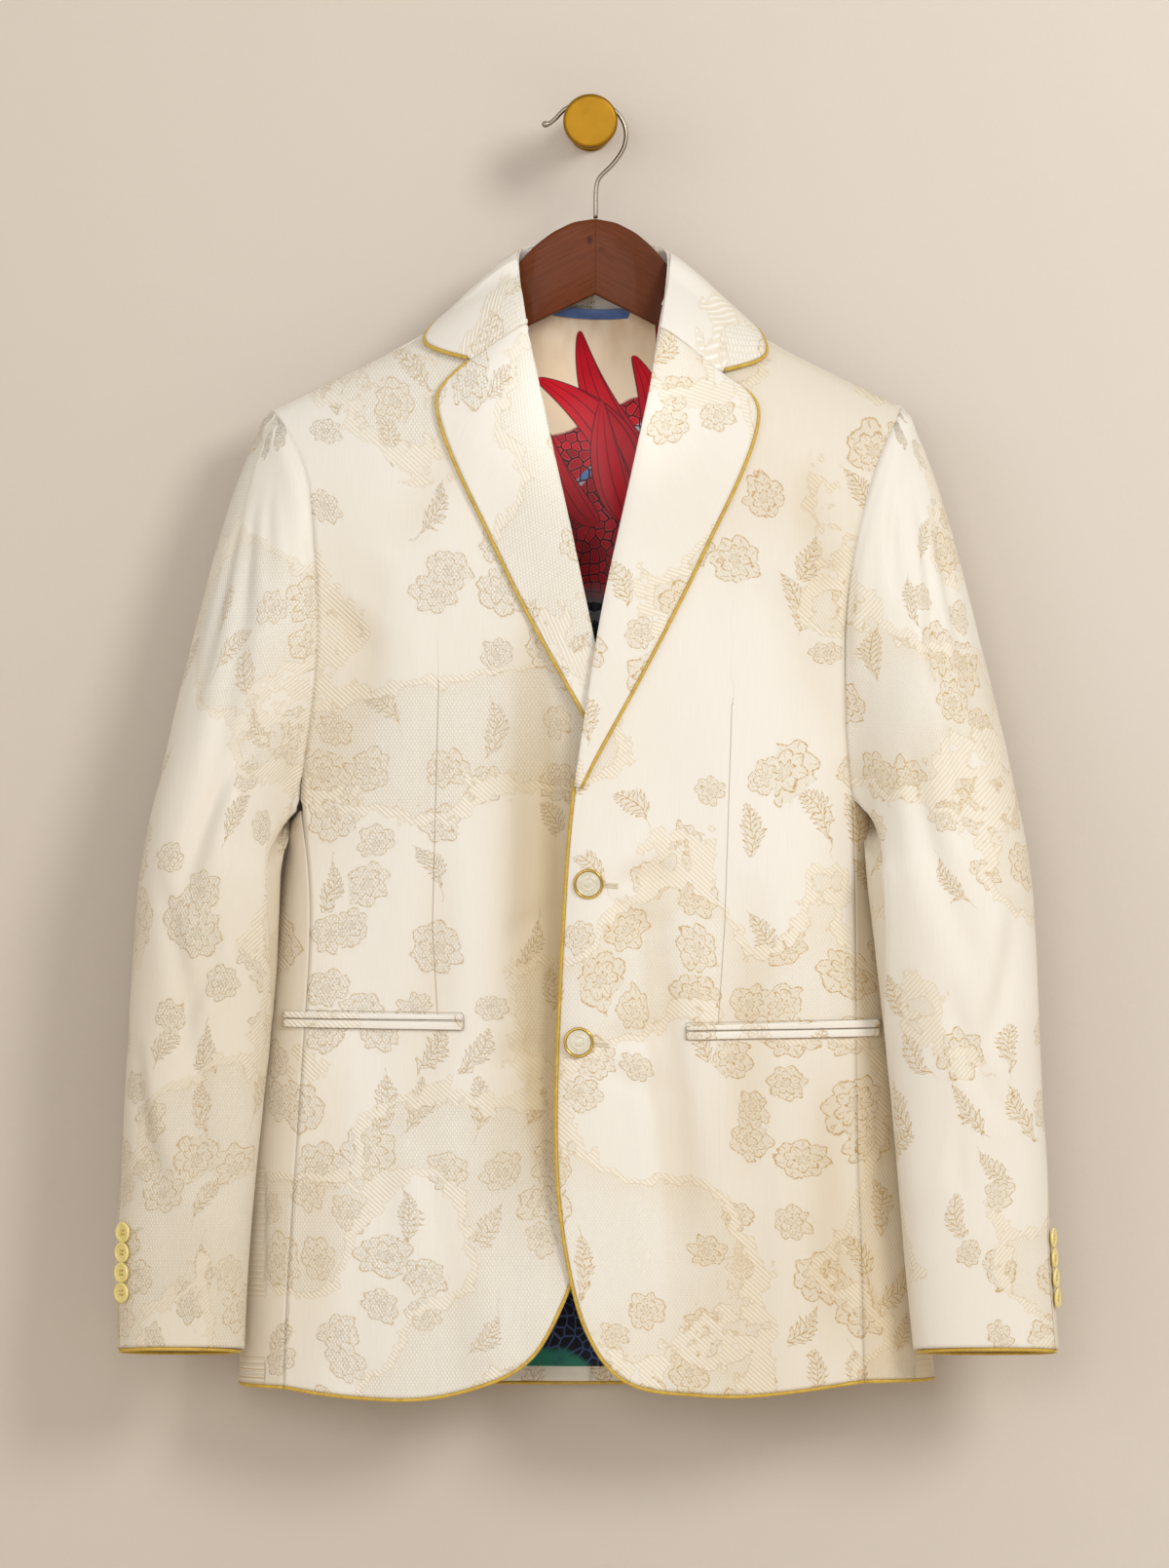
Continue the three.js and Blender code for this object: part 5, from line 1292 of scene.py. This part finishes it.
cuff_cloth = surface_of("cloth_top_sleeve_right")
for n in range(1, 5):
    centre = seat_of(f"button_cuff_right_{n}", (-1, -0.6, 0))[0] / MM
    start = (centre[0] + 5.6, centre[2] - 2.4)
    end = (start[0] + 7.4, start[1] + 5.6)
    buttonhole(f"hole_cuff_right_{n}", cuff_cloth, start, end, *CUFF_HOLE)


# Stage, camera and light
def backdrop(name, corners, codes, see_behind):
    """Plaster sheet for the stage, clear from behind where asked, with painted light falloff:
    darker to the left and towards the bottom.
    """
    mesh = mesh_of(name, corners, [(0, 1, 2, 3)])
    with reworked(mesh) as work:
        bmesh.ops.subdivide_edges(work, edges=work.edges[:], cuts=12, use_grid_fill=True)
    f = Finish(name)
    at = f.place()
    x, _, z = f.parts(at)
    # Painted light falloff: darker to the left and towards the bottom, under a faint random mottle
    across = (x * 0.9 + z * 0.35 + 0.55).least(1.0).most(0.0)
    mottle_and_painted_falloff = f.noise(at, 2.2, 3.0, 0.5, flat=False) * 0.3 + across * 0.7
    grain = f.noise(at, 160.0, 2.0, 0.5, flat=False)
    inputs = {
        "Base Color": f.mix(mottle_and_painted_falloff, shade(codes[0]), shade(codes[1])),
        "Roughness": 0.85,
        "Normal": f.bump(grain, 0.0004, 0.5),
    }
    lit = f.node("ShaderNodeBsdfPrincipled", {}, inputs)
    if see_behind:
        clear = f.node("ShaderNodeBsdfTransparent")
        behind = f.node("ShaderNodeNewGeometry", out=6)
        lit = f.node("ShaderNodeMixShader", {}, {0: behind, 1: lit, 2: clear})
    f.node("ShaderNodeOutputMaterial", {}, {"Surface": lit})
    mesh.materials.append(f.material)
    new_object(name, mesh)


HALF, BACK, TOP, NEAR, PAST = 6.0, 0.0015, 3.2, -9.0, 6.0
backdrop(
    "plaster_wall",
    [(-HALF, BACK, FLOOR_Z), (HALF, BACK, FLOOR_Z), (HALF, BACK, TOP), (-HALF, BACK, TOP)],
    ("CFC4B6", "DFD6CC"),
    True,
)
backdrop(
    "pale_floor",
    [(-HALF, NEAR, FLOOR_Z), (HALF, NEAR, FLOOR_Z), (HALF, PAST, FLOOR_Z), (-HALF, PAST, FLOOR_Z)],
    ("D9CDBF", "DDD2C5"),
    False,
)

camera_data = bpy.data.cameras.new("front camera")
camera_data.lens = CAMERA_LENS
camera_data.sensor_width = 36.0
camera_data.clip_end = 60.0
camera = bpy.data.objects.new("front camera", camera_data)
camera.location = CAMERA_AT
camera.rotation_euler = (math.radians(90), 0, 0)
SCENE.collection.objects.link(camera)
SCENE.camera = camera

world = bpy.data.worlds.new("studio")
world.use_nodes = True
sky = world.node_tree.nodes["Background"]
sky.inputs["Color"].default_value = (1.0, 0.99, 0.98, 1.0)
sky.inputs["Strength"].default_value = 0.50
SCENE.world = world


def lamp(name, kind, place, aim, **settings):
    data = bpy.data.lights.new(name, kind)
    for key, value in settings.items():
        setattr(data, key, value)
    light = bpy.data.objects.new(name, data)
    light.location = place
    light.rotation_euler = (Vector(aim) - Vector(place)).to_track_quat("-Z", "Y").to_euler()
    SCENE.collection.objects.link(light)


# Soft lamps: place, aim, size, power, colour and share of gloss
LAMPS = {
    "key": ((2.1, -3.1, 1.2), (0.0, -0.05, -0.45), 1.3, 61.0, (1.0, 0.995, 0.985), 1.0),
    "fill": ((-2.6, -3.4, 0.4), (0.0, -0.05, -0.5), 2.4, 19.0, (1.0, 0.99, 0.98), 1.0),
    "front": ((-0.5, -4.6, 0.2), (0.0, -0.05, -0.4), 1.6, 32.0, (1.0, 0.985, 0.96), 0.3),
}
for name, (place, aim, size, power, colour, gloss) in LAMPS.items():
    shape = {"shape": "DISK", "size": size, "specular_factor": gloss}
    lamp(name, "AREA", place, aim, energy=power, color=colour, **shape)
# Narrow lamp into the neck, where the wood shades the lining
beam = {"spot_size": math.radians(1.45), "spot_blend": 1.0, "shadow_soft_size": 0.05}
beam |= {"energy": 470.0, "specular_factor": 0.1}
lamp("inside", "SPOT", (0.05, -4.2, 0.25), (0.0, -0.03, -0.205), **beam)
SCENE.view_settings.view_transform = "Standard"
